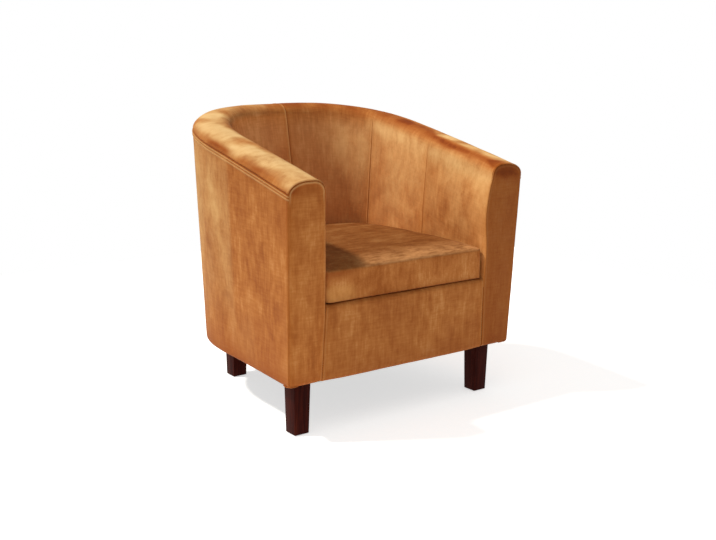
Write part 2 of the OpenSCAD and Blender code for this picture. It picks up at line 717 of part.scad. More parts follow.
lower_ring();
seat_ring();
front_rail();
corner_blocks();
lower_ribs();
upper_ribs();
arm_front_board_left();
arm_front_board_right();
arm_top_rail_left();
arm_top_rail_right();
back_top_rail();
outside_lining();
inside_lining();
arm_foam_left();
arm_foam_right();
back_foam();
rail_wadding_left();
rail_wadding_right();
rail_wadding_back();
arm_front_pad_left();
arm_front_pad_right();
front_rail_pad();
outside_cover_left();
outside_cover_right();
outside_cover_back();
arm_cover_left();
arm_cover_right();
side_cover_left();
side_cover_right();
back_cover_left();
back_cover_right();
arm_front_cover_left();
arm_front_cover_right();
front_rail_cover();
seat_springs();
spring_clips();
deck_hessian();
deck_pad();
deck_cloth();
dust_cover();
front_leg_left();
front_leg_right();
back_leg_left();
back_leg_right();
hanger_bolts();
tee_nuts();
leg_glides();
cushion_cover();
cushion_core();
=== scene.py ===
import math

import bpy
import bmesh
import numpy as np
from mathutils import Matrix, Vector, noise


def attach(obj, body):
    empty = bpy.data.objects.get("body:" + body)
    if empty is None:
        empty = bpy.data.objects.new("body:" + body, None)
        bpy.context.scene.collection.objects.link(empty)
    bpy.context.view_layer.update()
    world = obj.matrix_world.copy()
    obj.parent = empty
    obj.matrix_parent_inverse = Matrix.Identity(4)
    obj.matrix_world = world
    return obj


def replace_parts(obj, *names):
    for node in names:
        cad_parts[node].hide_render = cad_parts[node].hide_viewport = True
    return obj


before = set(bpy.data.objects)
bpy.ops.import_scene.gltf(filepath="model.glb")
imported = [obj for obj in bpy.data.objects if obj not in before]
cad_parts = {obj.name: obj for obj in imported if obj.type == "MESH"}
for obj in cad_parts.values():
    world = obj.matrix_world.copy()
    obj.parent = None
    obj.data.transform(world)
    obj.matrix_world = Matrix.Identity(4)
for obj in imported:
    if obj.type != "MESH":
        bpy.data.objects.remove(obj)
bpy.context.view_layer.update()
MM = 0.001


# Camera: it stands before the chair on the side of its left arm and looks a little down on it.
# Lengths that are measured in the picture are in its pixels.
azimuth, elevation, roll = (math.radians(a) for a in (-36.418, 12.082, 0.467))
aim, camera_distance = Vector((8.442, -66.63, 339.423)) * MM, 2.7977
picture_width, picture_height, focal_length = 716, 540, 1067.729
middle_x, middle_y = 350.148, 265.126
back = Vector((math.sin(azimuth) * math.cos(elevation), -math.cos(azimuth) * math.cos(elevation),
               math.sin(elevation)))
level = Vector((math.cos(azimuth), math.sin(azimuth), 0))
upright = back.cross(level)
right = level * math.cos(roll) + upright * math.sin(roll)
up = upright * math.cos(roll) - level * math.sin(roll)
lens = bpy.data.cameras.new("camera")
lens.sensor_width = 36
lens.lens = 36 * focal_length / picture_width
lens.shift_x = (picture_width / 2 - middle_x) / picture_width
lens.shift_y = (middle_y - picture_height / 2) / picture_width
camera = bpy.data.objects.new("camera", lens)
camera.matrix_world = (Matrix.Translation(aim + back * camera_distance)
                       @ Matrix((right, up, back)).transposed().to_4x4())
bpy.context.scene.collection.objects.link(camera)
bpy.context.scene.camera = camera
bpy.context.scene.view_settings.view_transform = "Standard"


# Floor and light: a white studio floor under a bright room, a key light high behind
# the left arm, and a broad soft light beside the camera.
def deselect_all():
    bpy.ops.object.select_all(action="DESELECT")


class Shade:
    """A value, colour or vector in a material. Sums of shades add Math nodes."""

    def __init__(self, finish, socket):
        self.finish, self.socket = finish, socket

    def math(self, operation, *values):
        return self.finish.node("ShaderNodeMath", {"operation": operation}, dict(enumerate(values)))

    def __add__(self, other):
        return self.math("ADD", self, other)

    def __sub__(self, other):
        return self.math("SUBTRACT", self, other)

    def __rsub__(self, other):
        return self.math("SUBTRACT", other, self)

    def __mul__(self, other):
        return self.math("MULTIPLY", self, other)

    __radd__, __rmul__ = __add__, __mul__

    def between(self, low, high):
        """0 below low, 1 above high, smooth between them."""
        return self.finish.node("ShaderNodeMapRange", {"interpolation_type": "SMOOTHSTEP"},
                                {"Value": self, "From Min": low, "From Max": high})


class Finish:
    """A material with one Principled shader."""

    def __init__(self, name, **constants):
        self.material = bpy.data.materials.new(name)
        self.material.use_nodes = True
        self.tree = self.material.node_tree
        self.shader = self.tree.nodes["Principled BSDF"]
        for socket, value in constants.items():
            self.socket(socket).default_value = value

    def socket(self, name):
        return self.shader.inputs[name.replace("_", " ").title().replace("Ior", "IOR")]

    def node(self, kind, settings, values, output=0):
        """Any node: its settings first, then the values or links of its sockets."""
        made = self.tree.nodes.new(kind)
        for key, value in settings.items():
            if key == "stops":
                for k, (place, colour) in enumerate(value):
                    stop = made.color_ramp.elements[k] if k < 2 else made.color_ramp.elements.new(place)
                    stop.position, stop.color = place, (*colour, 1)
            else:
                setattr(made, key, value)
        for key, value in values.items():
            self.feed(made.inputs[key], value)
        return Shade(self, made.outputs[output])

    def feed(self, socket, value):
        if isinstance(value, Shade):
            self.tree.links.new(value.socket, socket)
        elif isinstance(value, tuple) and len(value) == 3 and socket.type == "RGBA":
            socket.default_value = (*value, 1)
        else:
            socket.default_value = value

    def place(self, scale=(1, 1, 1), uv=False):
        """Where a point is on the piece, in metres, stretched by scale."""
        spot = (self.node("ShaderNodeUVMap", {"uv_map": "lie"}, {}) if uv
                else self.node("ShaderNodeTexCoord", {}, {}, "Object"))
        return self.node("ShaderNodeMapping", {}, {"Vector": spot, "Scale": scale})

    def noise(self, at, scale, detail=2.0, rough=0.5, warp=0.0):
        return self.node("ShaderNodeTexNoise", {}, {
            "Vector": at, "Scale": scale, "Detail": detail, "Roughness": rough, "Distortion": warp})

    def mark(self, name):
        return self.node("ShaderNodeAttribute", {"attribute_name": name}, {}, "Fac")

    def mix(self, share, a, b, blend="MIX"):
        return self.node("ShaderNodeMix", {"data_type": "RGBA", "blend_type": blend}, {0: share, 6: a, 7: b}, 2)

    def ramp(self, value, *stops):
        return self.node("ShaderNodeValToRGB", {"stops": stops}, {0: value})

    def bump(self, height, strength, distance):
        return self.node("ShaderNodeBump", {}, {"Height": height, "Strength": strength, "Distance": distance})

    def out(self, **values):
        for socket, value in values.items():
            self.feed(self.socket(socket), value)
        return self.material


studio = Finish("studio_floor", roughness=0.9, specular_ior_level=0.1, emission_strength=0.62)
studio.out(base_color=(0.82, 0.82, 0.82), emission_color=(1.0, 1.0, 1.0))
deselect_all()
bpy.ops.mesh.primitive_plane_add(size=3.6, location=(0, 0, 0))
floor = bpy.context.object
floor.name = "studio_floor"
floor.data.materials.append(studio.material)

world = bpy.data.worlds.new("studio_room")
world.use_nodes = True
room = world.node_tree
ambient = room.nodes["Background"]
white, seen, either = (room.nodes.new(kind) for kind in (
    "ShaderNodeBackground", "ShaderNodeLightPath", "ShaderNodeMixShader"))
ambient.inputs["Color"].default_value = (1.0, 0.97, 0.93, 1)
ambient.inputs["Strength"].default_value = 0.36
white.inputs["Color"].default_value = (1, 1, 1, 1)
room.links.new(seen.outputs["Is Camera Ray"], either.inputs[0])
room.links.new(ambient.outputs[0], either.inputs[1])
room.links.new(white.outputs[0], either.inputs[2])
room.links.new(either.outputs[0], room.nodes["World Output"].inputs[0])
bpy.context.scene.world = world


lamp_distance, chair_middle = 3.2, Vector((0, 0, 0.4))


def lamp(name, kind, towards, **settings):
    """A light that shines from a direction onto the middle of the chair."""
    data = bpy.data.lights.new(name, kind)
    for key, value in settings.items():
        setattr(data, key, value)
    made = bpy.data.objects.new(name, data)
    far = Vector(towards).normalized()
    made.location = far * lamp_distance + chair_middle
    made.rotation_euler = far.to_track_quat("Z", "Y").to_euler()
    bpy.context.scene.collection.objects.link(made)


lamp("key_light", "SUN", (-0.62, 0.34, 1.0), energy=3.1, angle=math.radians(5), color=(1.0, 0.955, 0.86))
lamp("soft_light", "AREA", (-0.25, -0.9, 1.5), energy=16, size=2.0, color=(1.0, 0.98, 0.95))


# Outside cover: brushed velvet stretched over the lining board from a rounded lower edge to
# the top seam, sewn from a left, a back and a right panel, with a double stitched band on top.
# Lengths on the chair are in millimetres.
front_y, back_y, curve_y, arm_length = -331.433, 332.567, -20.433, 311
seam_front_half, seam_curve_half, lower_front_half, lower_curve_half = 357, 351.5, 346, 325
lean, straight, bend = 17.0, 0.4, 2 / 2.48
lower_z, lower_round, turned_in = 135.0, 9.0, 26.0
seam_z, seam_rise, rise_bend = 585, 125, 1.2


def outline(m, at_seam):
    """Half outline of the tub, m from 0 at the arm front to 1 at the middle of the back."""
    if at_seam:
        w0, w1, y0, y1 = seam_front_half, seam_curve_half, front_y, back_y
    else:
        w0, w1, y0, y1 = lower_front_half, lower_curve_half, front_y + lean, back_y - lean
    a = np.radians(90 * np.clip(m - straight, 0, None) / (1 - straight))
    f = m / straight
    x = np.where(m < straight, w0 + (w1 - w0) * f, w1 * np.clip(np.cos(a), 0, None) ** bend)
    y = np.where(m < straight, y0 + (curve_y - y0) * f,
                 curve_y + (y1 - curve_y) * np.clip(np.sin(a), 0, 1) ** bend)
    return x, y


def inward(m):
    """Direction into the wall, square to the top seam."""
    a = np.radians(90 * np.clip(m - straight, 0, None) / (1 - straight))
    x = np.clip(np.cos(a), 0, None) ** (2 - bend) / seam_curve_half
    y = np.clip(np.sin(a), 0, 1) ** (2 - bend) / (back_y - curve_y)
    n = np.hypot(x, y)
    return -x / n, -y / n


def seam_height(m):
    u = np.clip((outline(m, True)[1] - front_y) / (back_y - front_y), 0, 1)
    return seam_z + seam_rise * (1 - (1 - u) ** rise_bend)


def wall(s, q, z):
    """Points in the wall: station s from -1 at the left arm's front to 1, depth q, height z."""
    s, q, z = (np.asarray(v, float) for v in (s, q, z))
    m = 1 - np.abs(s)
    t = (z - lower_z) / (seam_height(m) - lower_z)
    (x0, y0), (x1, y1), (nx, ny) = outline(m, False), outline(m, True), inward(m)
    x = x0 + (x1 - x0) * t + nx * q
    return np.stack(np.broadcast_arrays(np.where(s < 0, -x, x), y0 + (y1 - y0) * t + ny * q, z), -1)


fine = np.linspace(-1.01, 1.01, 4041)
along = wall(fine, 0, seam_height(1 - np.abs(fine)))
run = np.concatenate([[0], np.cumsum(np.linalg.norm(np.diff(along[:, :2], axis=0), axis=1))])
run -= np.interp(0, fine, run)


def station(length):
    """Station at a length along the top seam, from the middle of the back."""
    return np.interp(length, run, fine)


def length_at(s):
    return float(np.interp(s, fine, run))


def spread(a, b, count, fine_a=True, fine_b=True):
    """Places from a to b, in so many even steps, and closer together at the sewn ends."""
    close = np.array([0, 0.7, 1.4, 2.2, 3, 4, 5, 6, 7, 8, 9, 10, 11.5, 13.5, 16, 20])
    head = a + close if fine_a else np.array([a])
    tail = b - close[::-1] if fine_b else np.array([b])
    return np.concatenate([head, np.linspace(head[-1], tail[0], count + 1)[1:-1], tail])


def cloth_panel(name, points, lie, marks, outward, thick=2.0):
    """A grid carried point by point to its place on the chair, and then given its thickness."""
    rows, columns = points.shape[:2]
    deselect_all()
    bpy.ops.mesh.primitive_grid_add(x_subdivisions=columns - 1, y_subdivisions=rows - 1, size=2)
    piece = bpy.context.object
    piece.name = piece.data.name = name
    mesh = piece.data
    flat = np.empty(len(mesh.vertices) * 3, np.float32)
    mesh.vertices.foreach_get("co", flat)
    flat = flat.reshape(-1, 3)
    i = np.rint((flat[:, 0] + 1) / 2 * (columns - 1)).astype(int)
    j = np.rint((flat[:, 1] + 1) / 2 * (rows - 1)).astype(int)
    mesh.vertices.foreach_set("co", (points[j, i] * MM).astype(np.float32).ravel())
    corner = np.empty(len(mesh.loops), np.int32)
    mesh.loops.foreach_get("vertex_index", corner)
    layer = mesh.uv_layers.active or mesh.uv_layers.new()
    layer.name = "lie"
    layer.data.foreach_set("uv", (lie[j, i][corner] * MM).astype(np.float32).ravel())
    for key, value in marks.items():
        mesh.attributes.new(key, "FLOAT", "POINT").data.foreach_set("value", value[j, i].astype(np.float32))
    mesh.update()
    middle = mesh.polygons[len(mesh.polygons) // 2]
    if middle.normal.dot(Vector(outward)) < 0:
        bpy.ops.object.mode_set(mode="EDIT")
        bpy.ops.mesh.select_all(action="SELECT")
        bpy.ops.mesh.flip_normals()
        bpy.ops.object.mode_set(mode="OBJECT")
    thickness = piece.modifiers.new("thickness", "SOLIDIFY")
    thickness.thickness, thickness.offset = thick * MM, -1
    bpy.ops.object.modifier_apply(modifier=thickness.name)
    bpy.ops.object.shade_smooth_by_angle(angle=math.radians(70))
    return piece


def ripple(points, size, seed, stretch=(1, 1, 1)):
    """A soft, repeatable unevenness from -1 to 1 at each point, of a given size in mm."""
    flat = points.reshape(-1, 3) * np.array(stretch) / size
    return np.array([noise.noise(Vector((p[0], p[1], p[2] + seed * 17.3))) for p in flat]).reshape(points.shape[:2])


# A sewn edge: distances from it, how deep the cloth lies there, and how strongly its painted shade and painted
# highlight show in the colour
near_seam = [0, 0.7, 1.4, 2.2, 3, 4, 5, 6, 8, 11]
plain_seam = (near_seam, [1.0, 0.6, 0.1, -0.3, -0.7, -0.9, -0.6, -0.3, 0, 0], 0.8)
faint_seam = (near_seam, [0.9, 0.5, 0.2, 0, -0.2, -0.3, -0.2, -0.1, 0, 0], 1.0)
raised_side = (near_seam, [0.3, -0.3, -0.8, -1.1, -1.1, -0.8, -0.5, -0.2, 0, 0], 1.0)
sunk_side = (near_seam, [1.7, 1.7, 1.4, 1.0, 0.7, 0.4, 0.2, 0.1, 0, 0], 1.0)
crown_seam = ([0, 0.7, 1.4, 2.2, 3, 4, 5, 6, 7, 9, 12, 18],
              [2.3, 1.8, 1.1, 0.6, 0.3, 0, -0.1, -0.2, -0.2, -0.1, 0, 0], 1.0)
band_seam = ([0, 0.7, 1.4, 2.2, 3, 4, 5, 6, 7, 8, 9, 10, 11.5, 13.5, 16, 22],
             [2.2, 1.4, 0.2, -1.0, -1.5, -1.3, -0.7, 0, 0.3, -0.3, -1.2, -1.5, -1.0, -0.1, 0.1, 0], 1.0)
rounded_edge = (near_seam, [2.3, 2.2, 1.5, 0.86, 0.42, 0.11, 0, 0, 0, 0], 0.5)
arch_edge = (near_seam, [1.5, 0.8, 0.2, -0.3, -0.7, -0.7, -0.5, -0.3, 0, 0], 0.7)
soft_edge = (near_seam, [1.6, 1.0, 0.5, 0.2, 0, -0.15, -0.15, -0.1, 0, 0], 0.5)


def sewn(distance, profile):
    """Depth of the cloth at a distance from a seam, and the masks of the painted shade in its hollow and of the
    painted highlight on its raised edge.
    """
    places, depths, shade = profile
    depth = np.interp(distance, places, depths)
    return depth, np.clip(depth / 1.6, 0, 1) * shade, np.clip(-depth / 1.5, 0, 1) * shade


def loft(name, lengths, section, places, edges, puff, nap, tone_and_painted_light, seed, outward):
    """A cover along the wall. section(m) is its path in depth and height, places(total) the lengths
    along that path where it has points, and edges the seam profiles at its left, right, start and end.
    A profile marked as fading is drawn tight and nearly flat over the crown. puff gives how far the
    cloth stands out, and nap how its pile lies and where light and shade are painted on it; the panel's brightness
    is partly nap and partly painted light."""
    s = station(lengths)
    columns = []
    for one in s:
        path = np.array(section(1 - abs(float(one))), float)
        gone = np.concatenate([[0], np.cumsum(np.hypot(*np.diff(path, axis=0).T))])
        w = places(gone[-1])
        spot = np.stack([np.interp(w, gone, path[:, k]) for k in (0, 1)], -1)
        ahead = np.stack([np.interp(np.clip(w + 2, 0, gone[-1]), gone, path[:, k]) for k in (0, 1)], -1)
        behind = np.stack([np.interp(np.clip(w - 2, 0, gone[-1]), gone, path[:, k]) for k in (0, 1)], -1)
        t = ahead - behind
        t /= np.linalg.norm(t, axis=1)[:, None]
        columns.append(np.column_stack([spot, -t[:, 1], t[:, 0], w, gone[-1] - w]))
    grid = np.stack(columns, 1)
    q, z, nq, nz, from_start, from_end = (grid[..., k] for k in range(6))
    across = np.broadcast_to(lengths, q.shape)
    base = wall(s, q, z)
    depth, painted_seam_shade, painted_seam_highlight, near = (np.zeros(q.shape) for _ in range(4))
    away = (across - lengths[0], lengths[-1] - across, from_start, from_end)
    for (profile, fading), distance in zip(edges, away):
        if profile:
            hold = np.clip((from_start - 90) / 60, 0.1, 1) if fading else 1
            d, g, r = sewn(distance, profile)
            depth, painted_seam_shade, painted_seam_highlight = depth + d * hold, np.maximum(painted_seam_shade, g * hold), np.maximum(painted_seam_highlight, r * hold)
            near = np.maximum(near, np.exp(-distance / 14) * hold)
            depth += 0.35 * np.exp(-distance / 22) * ripple(base, 24, seed + 3)
    depth = depth - puff(across, from_start, from_end, base)
    depth += 0.8 * ripple(base, 130, seed) + 0.25 * ripple(base, 38, seed + 1)
    points = wall(s, q - nq * depth, z - nz * depth)
    lie = np.stack([across, from_start], -1)
    deep_nap_and_painted_shade, pale_nap_and_painted_light, crown, blush_and_painted_shadow = nap(s[None, :], from_start, from_end, base)
    # brightness of the panel, partly nap and partly painted light, drawn to one shared value over the crown
    lit = tone_and_painted_light + (1.05 + 0.08 * np.clip(s * 2, -1, 1) - tone_and_painted_light) * crown
    marks = {"painted_seam_shade": painted_seam_shade, "painted_seam_highlight": painted_seam_highlight, "near_edge": near, "tone_and_painted_light": lit + 0 * q,
             "deep_nap_and_painted_shade": deep_nap_and_painted_shade + 0 * q, "pale_nap_and_painted_light": pale_nap_and_painted_light + 0 * q, "blush_and_painted_shadow": blush_and_painted_shadow + 0 * q}
    return cloth_panel(name, points, lie, marks, outward)


def rounded(count):
    """The rounding of the lower edge in section, from below to the face."""
    return [(lower_round * (1 - math.sin(a)), lower_z + lower_round * (1 - math.cos(a)))
            for a in np.radians(np.linspace(0, 90, count))]


def outside_path(m):
    return [(turned_in, lower_z)] + rounded(9) + [(0, float(seam_height(np.float64(m))) - 0.2)]


def outside_places(total):
    return np.concatenate([np.linspace(0, 16, 4)[:-1], np.linspace(16, 31.5, 9),
                           spread(31.5, total, 42, False)[1:]])


def outside_puff(across, from_start, from_end, base):
    """The cloth is drawn tight over the board and gathers a little above its lower edge."""
    gathers = 0.5 * np.exp(-np.clip(from_start - turned_in, 0, None) / 45) * ripple(base, 34, 9, (1, 1, 0.2))
    return 0.3 * np.clip(from_end / 60, 0, 1) * np.clip((from_start - 20) / 60, 0, 1) + gathers


def outside_nap_and_painted_light(s, from_start, from_end, base):
    """The colour deepens towards the lower edge, as painted shade where the cloth rolls under, and
    under the front of the arm, as painted shade below the crown. It is paler where the left side turns
    towards the back, a painted highlight where it turns to the key light, over paler patches of the pile,
    and a thin dark line of painted shade runs down the corner crease of the left arm front."""
    cloud = ripple(base, 70, 31)
    deep_nap_and_painted_shade = np.exp(-np.clip(from_start - turned_in, 0, None) / 30) * (0.4 + 0.3 * cloud)
    deep_nap_and_painted_shade = deep_nap_and_painted_shade + 0.42 * np.exp(-from_start / 190)
    deep_nap_and_painted_shade = deep_nap_and_painted_shade + 0.5 * np.exp(-from_end / 60) * np.exp(-((s + 0.93) / 0.12) ** 2) * (0.8 + 0.8 * cloud)
    pale_nap_and_painted_light = 0.22 * np.clip(ripple(base, 90, 33, (1, 1, 0.3)) * 1.6, 0, 1) * np.clip(from_end / 90, 0, 1)
    # paler where the left side turns towards the back: a painted highlight where it turns to the key light
    turn = np.clip((s + 0.665) / 0.03, 0, 1) * np.clip((-0.3 - s) / 0.1, 0, 1)
    pale_nap_and_painted_light = pale_nap_and_painted_light + (turn * np.clip((from_start - 20) / 200, 0.2, 1)
                   * (0.42 + 0.2 * ripple(base, 60, 35, (1, 1, 0.3))))
    # a thin dark line near the front corner of the left side: painted shade in its crease
    crease = np.exp(-(((1 + s) * 777 - 6) / 2) ** 2) * np.clip((from_start - 200) / 200, 0, 1)
    return np.clip(deep_nap_and_painted_shade + 0.6 * crease, 0, 1), np.clip(pale_nap_and_painted_light, 0, 1), 0 * from_start, 0 * from_start


def velvet(name):
    """Brushed velvet: the pile lies in patches and streaks, light where it leans away and deep
    orange where it leans to the light. Painted shade darkens its seams and painted highlights lighten their raised
    edges, and the marks of the covers add more painted light and shade to the colour of the pile."""
    cloth = Finish(name, specular_ior_level=0.1, sheen_weight=0.05, sheen_roughness=0.4,
                   sheen_tint=(1.0, 0.80, 0.50, 1))
    spot = cloth.place()
    patches = cloth.noise(spot, 7.5, 4, 0.62, 0.5)
    blots = cloth.noise(cloth.place((1, 1, 0.7)), 26, 4, 0.6, 0.3)
    streaks = cloth.noise(cloth.place((38, 9, 1), uv=True), 2.1, 3, 0.55)
    hairs = cloth.noise(cloth.place((420, 70, 1), uv=True), 1.6, 2, 0.5)
    threads = (cloth.noise(cloth.place((130, 15, 1), uv=True), 1.5, 3, 0.65)
               + cloth.noise(cloth.place((15, 130, 1), uv=True), 1.5, 3, 0.65)) * 0.5
    nap = patches * 0.32 + blots * 0.22 + streaks * 0.20 + threads * 0.30 - 0.02
    colour = cloth.ramp(nap, (0.34, (0.24, 0.060, 0.009)), (0.45, (0.345, 0.105, 0.020)),
                        (0.53, (0.44, 0.158, 0.037)), (0.62, (0.56, 0.245, 0.078)))
    ragged = blots * 1.3 + streaks * 0.3 + patches * 0.6 + hairs * 0.6 - 0.4
    # paler pile in patches, with painted light where the covers mark it
    colour = cloth.mix((cloth.mark("pale_nap_and_painted_light") * ragged).between(0, 1.15), colour, (0.65, 0.395, 0.158))
    shining = cloth.mark("pale_nap_and_painted_light") * (ragged * 0.7 + streaks * 0.6)
    # a painted highlight, lighter still
    colour = cloth.mix(shining.between(0.6, 1.3) * 0.4, colour, (0.84, 0.60, 0.31))
    # deeper pile mixed with painted shade, where the covers mark it
    deep_and_shaded_mask = cloth.mark("deep_nap_and_painted_shade") * ragged
    deep_nap_and_painted_shade = cloth.mix(deep_and_shaded_mask.between(0.7, 1.3), (0.26, 0.055, 0.006), (0.19, 0.036, 0.005))
    colour = cloth.mix(deep_and_shaded_mask.between(0, 1.1), colour, deep_nap_and_painted_shade)
    # on the inner walls this mark is only a pink tint of the pile
    colour = cloth.mix(cloth.mark("blush_and_painted_shadow") * 0.34, colour, (0.51, 0.225, 0.102))
    # deeper orange close to seams and edges: painted shade where the cloth rolls over them
    colour = cloth.mix(cloth.mark("near_edge") * 0.4, colour, (0.40, 0.118, 0.014))
    # painted shade darkens the hollows of the seams
    colour = cloth.mix(cloth.mark("painted_seam_shade") * 0.8, colour, (0.27, 0.062, 0.007))
    # a painted highlight lightens the raised edges of the seams
    colour = cloth.mix(cloth.mark("painted_seam_highlight") * 0.5, colour, (0.66, 0.40, 0.165))
    # the per-panel brightness multiplies the colour: partly nap, partly painted light
    colour = cloth.mix(1.0, colour, cloth.mark("tone_and_painted_light"), "MULTIPLY")
    pile = cloth.noise(spot, 900, 2, 0.5) * 0.5 + hairs * 0.7 + blots * 0.4
    return cloth.out(base_color=colour, roughness=0.62 + patches * 0.3,
                     normal=cloth.bump(pile, 0.35, 0.0012))


velvet_walls = velvet("velvet_walls")
front_end, outside_seam = length_at(1.0), length_at(0.3)
for name, a, b, ends, seed, outward in (
        ("left", -front_end, -outside_seam, ((rounded_edge, 0), (plain_seam, 0)), 1, (-1, 0.2, 0)),
        ("back", -outside_seam, outside_seam, ((plain_seam, 0), (plain_seam, 0)), 2, (0, 1, 0)),
        ("right", outside_seam, front_end, ((plain_seam, 0), (rounded_edge, 0)), 3, (1, 0.2, 0))):
    cover = loft(f"outside_velvet_{name}", spread(a, b, round((b - a) / 10)), outside_path, outside_places,
                 (*ends, (None, 0), (band_seam, 0)), outside_puff, outside_nap_and_painted_light, 0.9, seed, outward)
    cover.data.materials.append(velvet_walls)
    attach(cover, "chair")
    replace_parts(cover, f"outside_cover_{name}")


# Inside cover: six velvet panels side by side, each sewn to the next, which run from the top
# seam over the padded crown and down the inner face of the wall, tucked in behind the seat.
crown_h, outer_round = 30, 54
inner_start, inner_round, inner_drop = 69, 32, 28
seat_z, tuck_z, arm_thick, back_thick = 400, 297, 102, 153


def seat_wall(m):
    """Thickness of the wall where the cushion meets it."""
    return arm_thick + (back_thick - arm_thick) * inward(m)[1] ** 2


def inside_path(m):
    m = np.float64(m)
    z0, w = float(seam_height(m)) + 0.2, float(seat_wall(m))
    outer = [(outer_round - outer_round * math.cos(a), z0 + crown_h * math.sin(a))
             for a in np.radians(np.linspace(0, 90, 13))]
    inner = [(inner_start + inner_round * math.sin(a), z0 + (crown_h - inner_drop) + inner_drop * math.cos(a))
             for a in np.radians(np.linspace(0, 90, 11))]
    return outer + inner + [(w, seat_z), (w, tuck_z)]


def inside_places(total):
    over_crown = 132
    return np.concatenate([spread(0, over_crown, 22, True, False), np.linspace(over_crown, total, 30)[1:]])


def inside_nap_and_painted_light(s, from_start, from_end, base):
    """On the crown the pile lies both ways, and light and shade are painted on it: golden on the left arm,
    partly a painted highlight where it faces the key light, with deep orange creases along its outer seam
    and at its seams as painted shade; deep orange patches over the back and the right arm, partly nap and
    partly painted shade where the crown turns from the light, with a painted highlight along their outer rim.
    The inner face below is golden at the right, partly painted light where the key light falls on it, and
    turns a little pink towards the left. A painted shadow darkens the inner back low in its middle, and
    painted shade the inner edge of the right arm front."""
    cloud, blot = ripple(base, 95, 41), ripple(base, 42, 43)
    crease = ripple(base, 34, 47, (1, 0.4, 1))
    left = np.clip((-0.02 - s) / 0.04, 0, 1)
    top = np.clip((132 - from_start) / 14, 0, 1)
    # golden crown of the left arm: partly nap, partly a painted highlight where it faces the key light
    gold_and_painted_light = left * top * np.clip(0.78 + 0.5 * cloud + 0.7 * crease - 0.8 * np.exp(-from_start / 12), 0, 1)
    gold_and_painted_light = gold_and_painted_light * (1 - 0.6 * np.clip((from_start - 84) / 30, 0, 1))
    # deep orange along the outer seam and where the seams draw the cloth: painted shade in the creases
    deep_pile_and_painted_shade = left * top * np.clip(0.65 * np.exp(-from_start / 9) + crease * np.exp(-from_start / 26) - 0.1, 0, 0.7)
    drawn = np.exp(-((s + 0.585) / 0.055) ** 2) + np.exp(-((s + 0.83) / 0.055) ** 2)
    deep_pile_and_painted_shade = deep_pile_and_painted_shade + drawn * np.exp(-((from_start - 13 - 8 * blot) / 12) ** 2) * (0.7 + 0.8 * crease)
    gold_and_painted_light = gold_and_painted_light * (1 - 0.8 * np.clip(deep_pile_and_painted_shade, 0, 1))
    far = np.clip((s - 0.63) / 0.06, 0, 1)
    # deep orange band over the back and right crown, partly nap and partly painted shade where the crown turns from
    # the light, with a painted highlight along its rim
    band = np.exp(-((from_start - 84 - 16 * far - 8 * cloud) / (29 - 16 * far)) ** 2)
    behind = np.clip((s - 0.40) / 0.05, 0, 1)
    rim = (0.5 - 0.2 * behind + far) * (1 - left) * np.clip((66 + 26 * far - 10 * cloud - from_start) / 14, 0, 1)
    deep_pile_and_painted_shade = deep_pile_and_painted_shade + (1 - left) * (1 - rim) * band * np.clip(0.7 + (1.5 - behind) * blot + 0.25 * behind, 0, 1.1)
    gold_and_painted_light = gold_and_painted_light + rim * np.clip(0.55 + 0.6 * blot, 0, 1)
    # golden inner face at the right and a band under the crown: partly nap, partly painted light where the key
    # light falls
    face = np.clip((from_start - 115) / 50, 0, 1)
    below = face * np.clip((s - 0.02) / 0.35, 0, 1) * np.clip((460 - from_start) / 260, 0.2, 1)
    under = np.exp(-((from_start - 138) / 26) ** 2) * np.clip((s - 0.36) / 0.08, 0, 1) * 0.5
    gold_and_painted_light = gold_and_painted_light + (0.14 + 0.12 * left) * face + under
    gold_and_painted_light = gold_and_painted_light + (below * np.clip(0.33 + 0.16 * ripple(base, 60, 49, (1, 1, 0.5)), 0, 1)
                   * np.where(s < 0.68, 1.5, 1))
    gold_and_painted_light = gold_and_painted_light + 0.07 * face * np.clip(ripple(base, 70, 51, (1, 1, 0.5)) * 1.5, 0, 1)
    # darker low in the middle of the inner back: a painted shadow
    low = np.clip((from_start - 200) / 240, 0, 1)
    deep_pile_and_painted_shade = deep_pile_and_painted_shade + 0.5 * low * np.clip(1 - np.abs(s - 0.12) / 0.35, 0, 1) * (0.8 + 0.6 * cloud)
    # painted shade along the inner edge of the right arm front
    deep_pile_and_painted_shade = deep_pile_and_painted_shade + 0.9 * np.exp(-((s - 0.985) / 0.03) ** 2 - ((from_start - 84) / 30) ** 2)
    # on the walls this is a pink tint of the pile towards the left
    blush_and_painted_shadow = face * np.clip(0.85 - 0.95 * s, 0, 1)
    return np.clip(deep_pile_and_painted_shade, 0, 1), np.clip(gold_and_painted_light, 0, 1 - 0.4 * face), top, blush_and_painted_shadow


def swell(s, z):
    """The stuffing of the right arm has worked inwards, a little below its front arch."""
    most, swell_z = 12, 488
    below_arch = np.clip((seam_z + 2 - z) / 30, 0, 1)
    bulge = np.exp(-((z - swell_z) / np.where(z > swell_z, 80, 64)) ** 2)
    return most * below_arch * bulge * np.clip((s - 0.66) / 0.3, 0, 1) ** 0.8


def inside_puff(across, from_start, from_end, base):
    """The crown is softly padded, and the inner face swells between its seams."""
    crown = np.exp(-((from_start - 70) / 42) ** 2) * (0.3 + 1.2 * ripple(base, 75, 21))
    ends = np.clip(np.minimum(across - across.min(), across.max() - across) / 70, 0, 1)
    face = 4.0 * ends ** 0.7 * np.clip((from_start - 120) / 90, 0, 1)
    drag = 0.5 * np.clip((from_start - 95) / 60, 0, 1) * ripple(base, 30, 25, (1, 1, 0.25))
    return crown + face + drag + swell(station(across), base[..., 2]) * (from_start > 118)


middle_seam, corner_seam, arm_seam = 5.0, length_at(0.415), length_at(0.68)
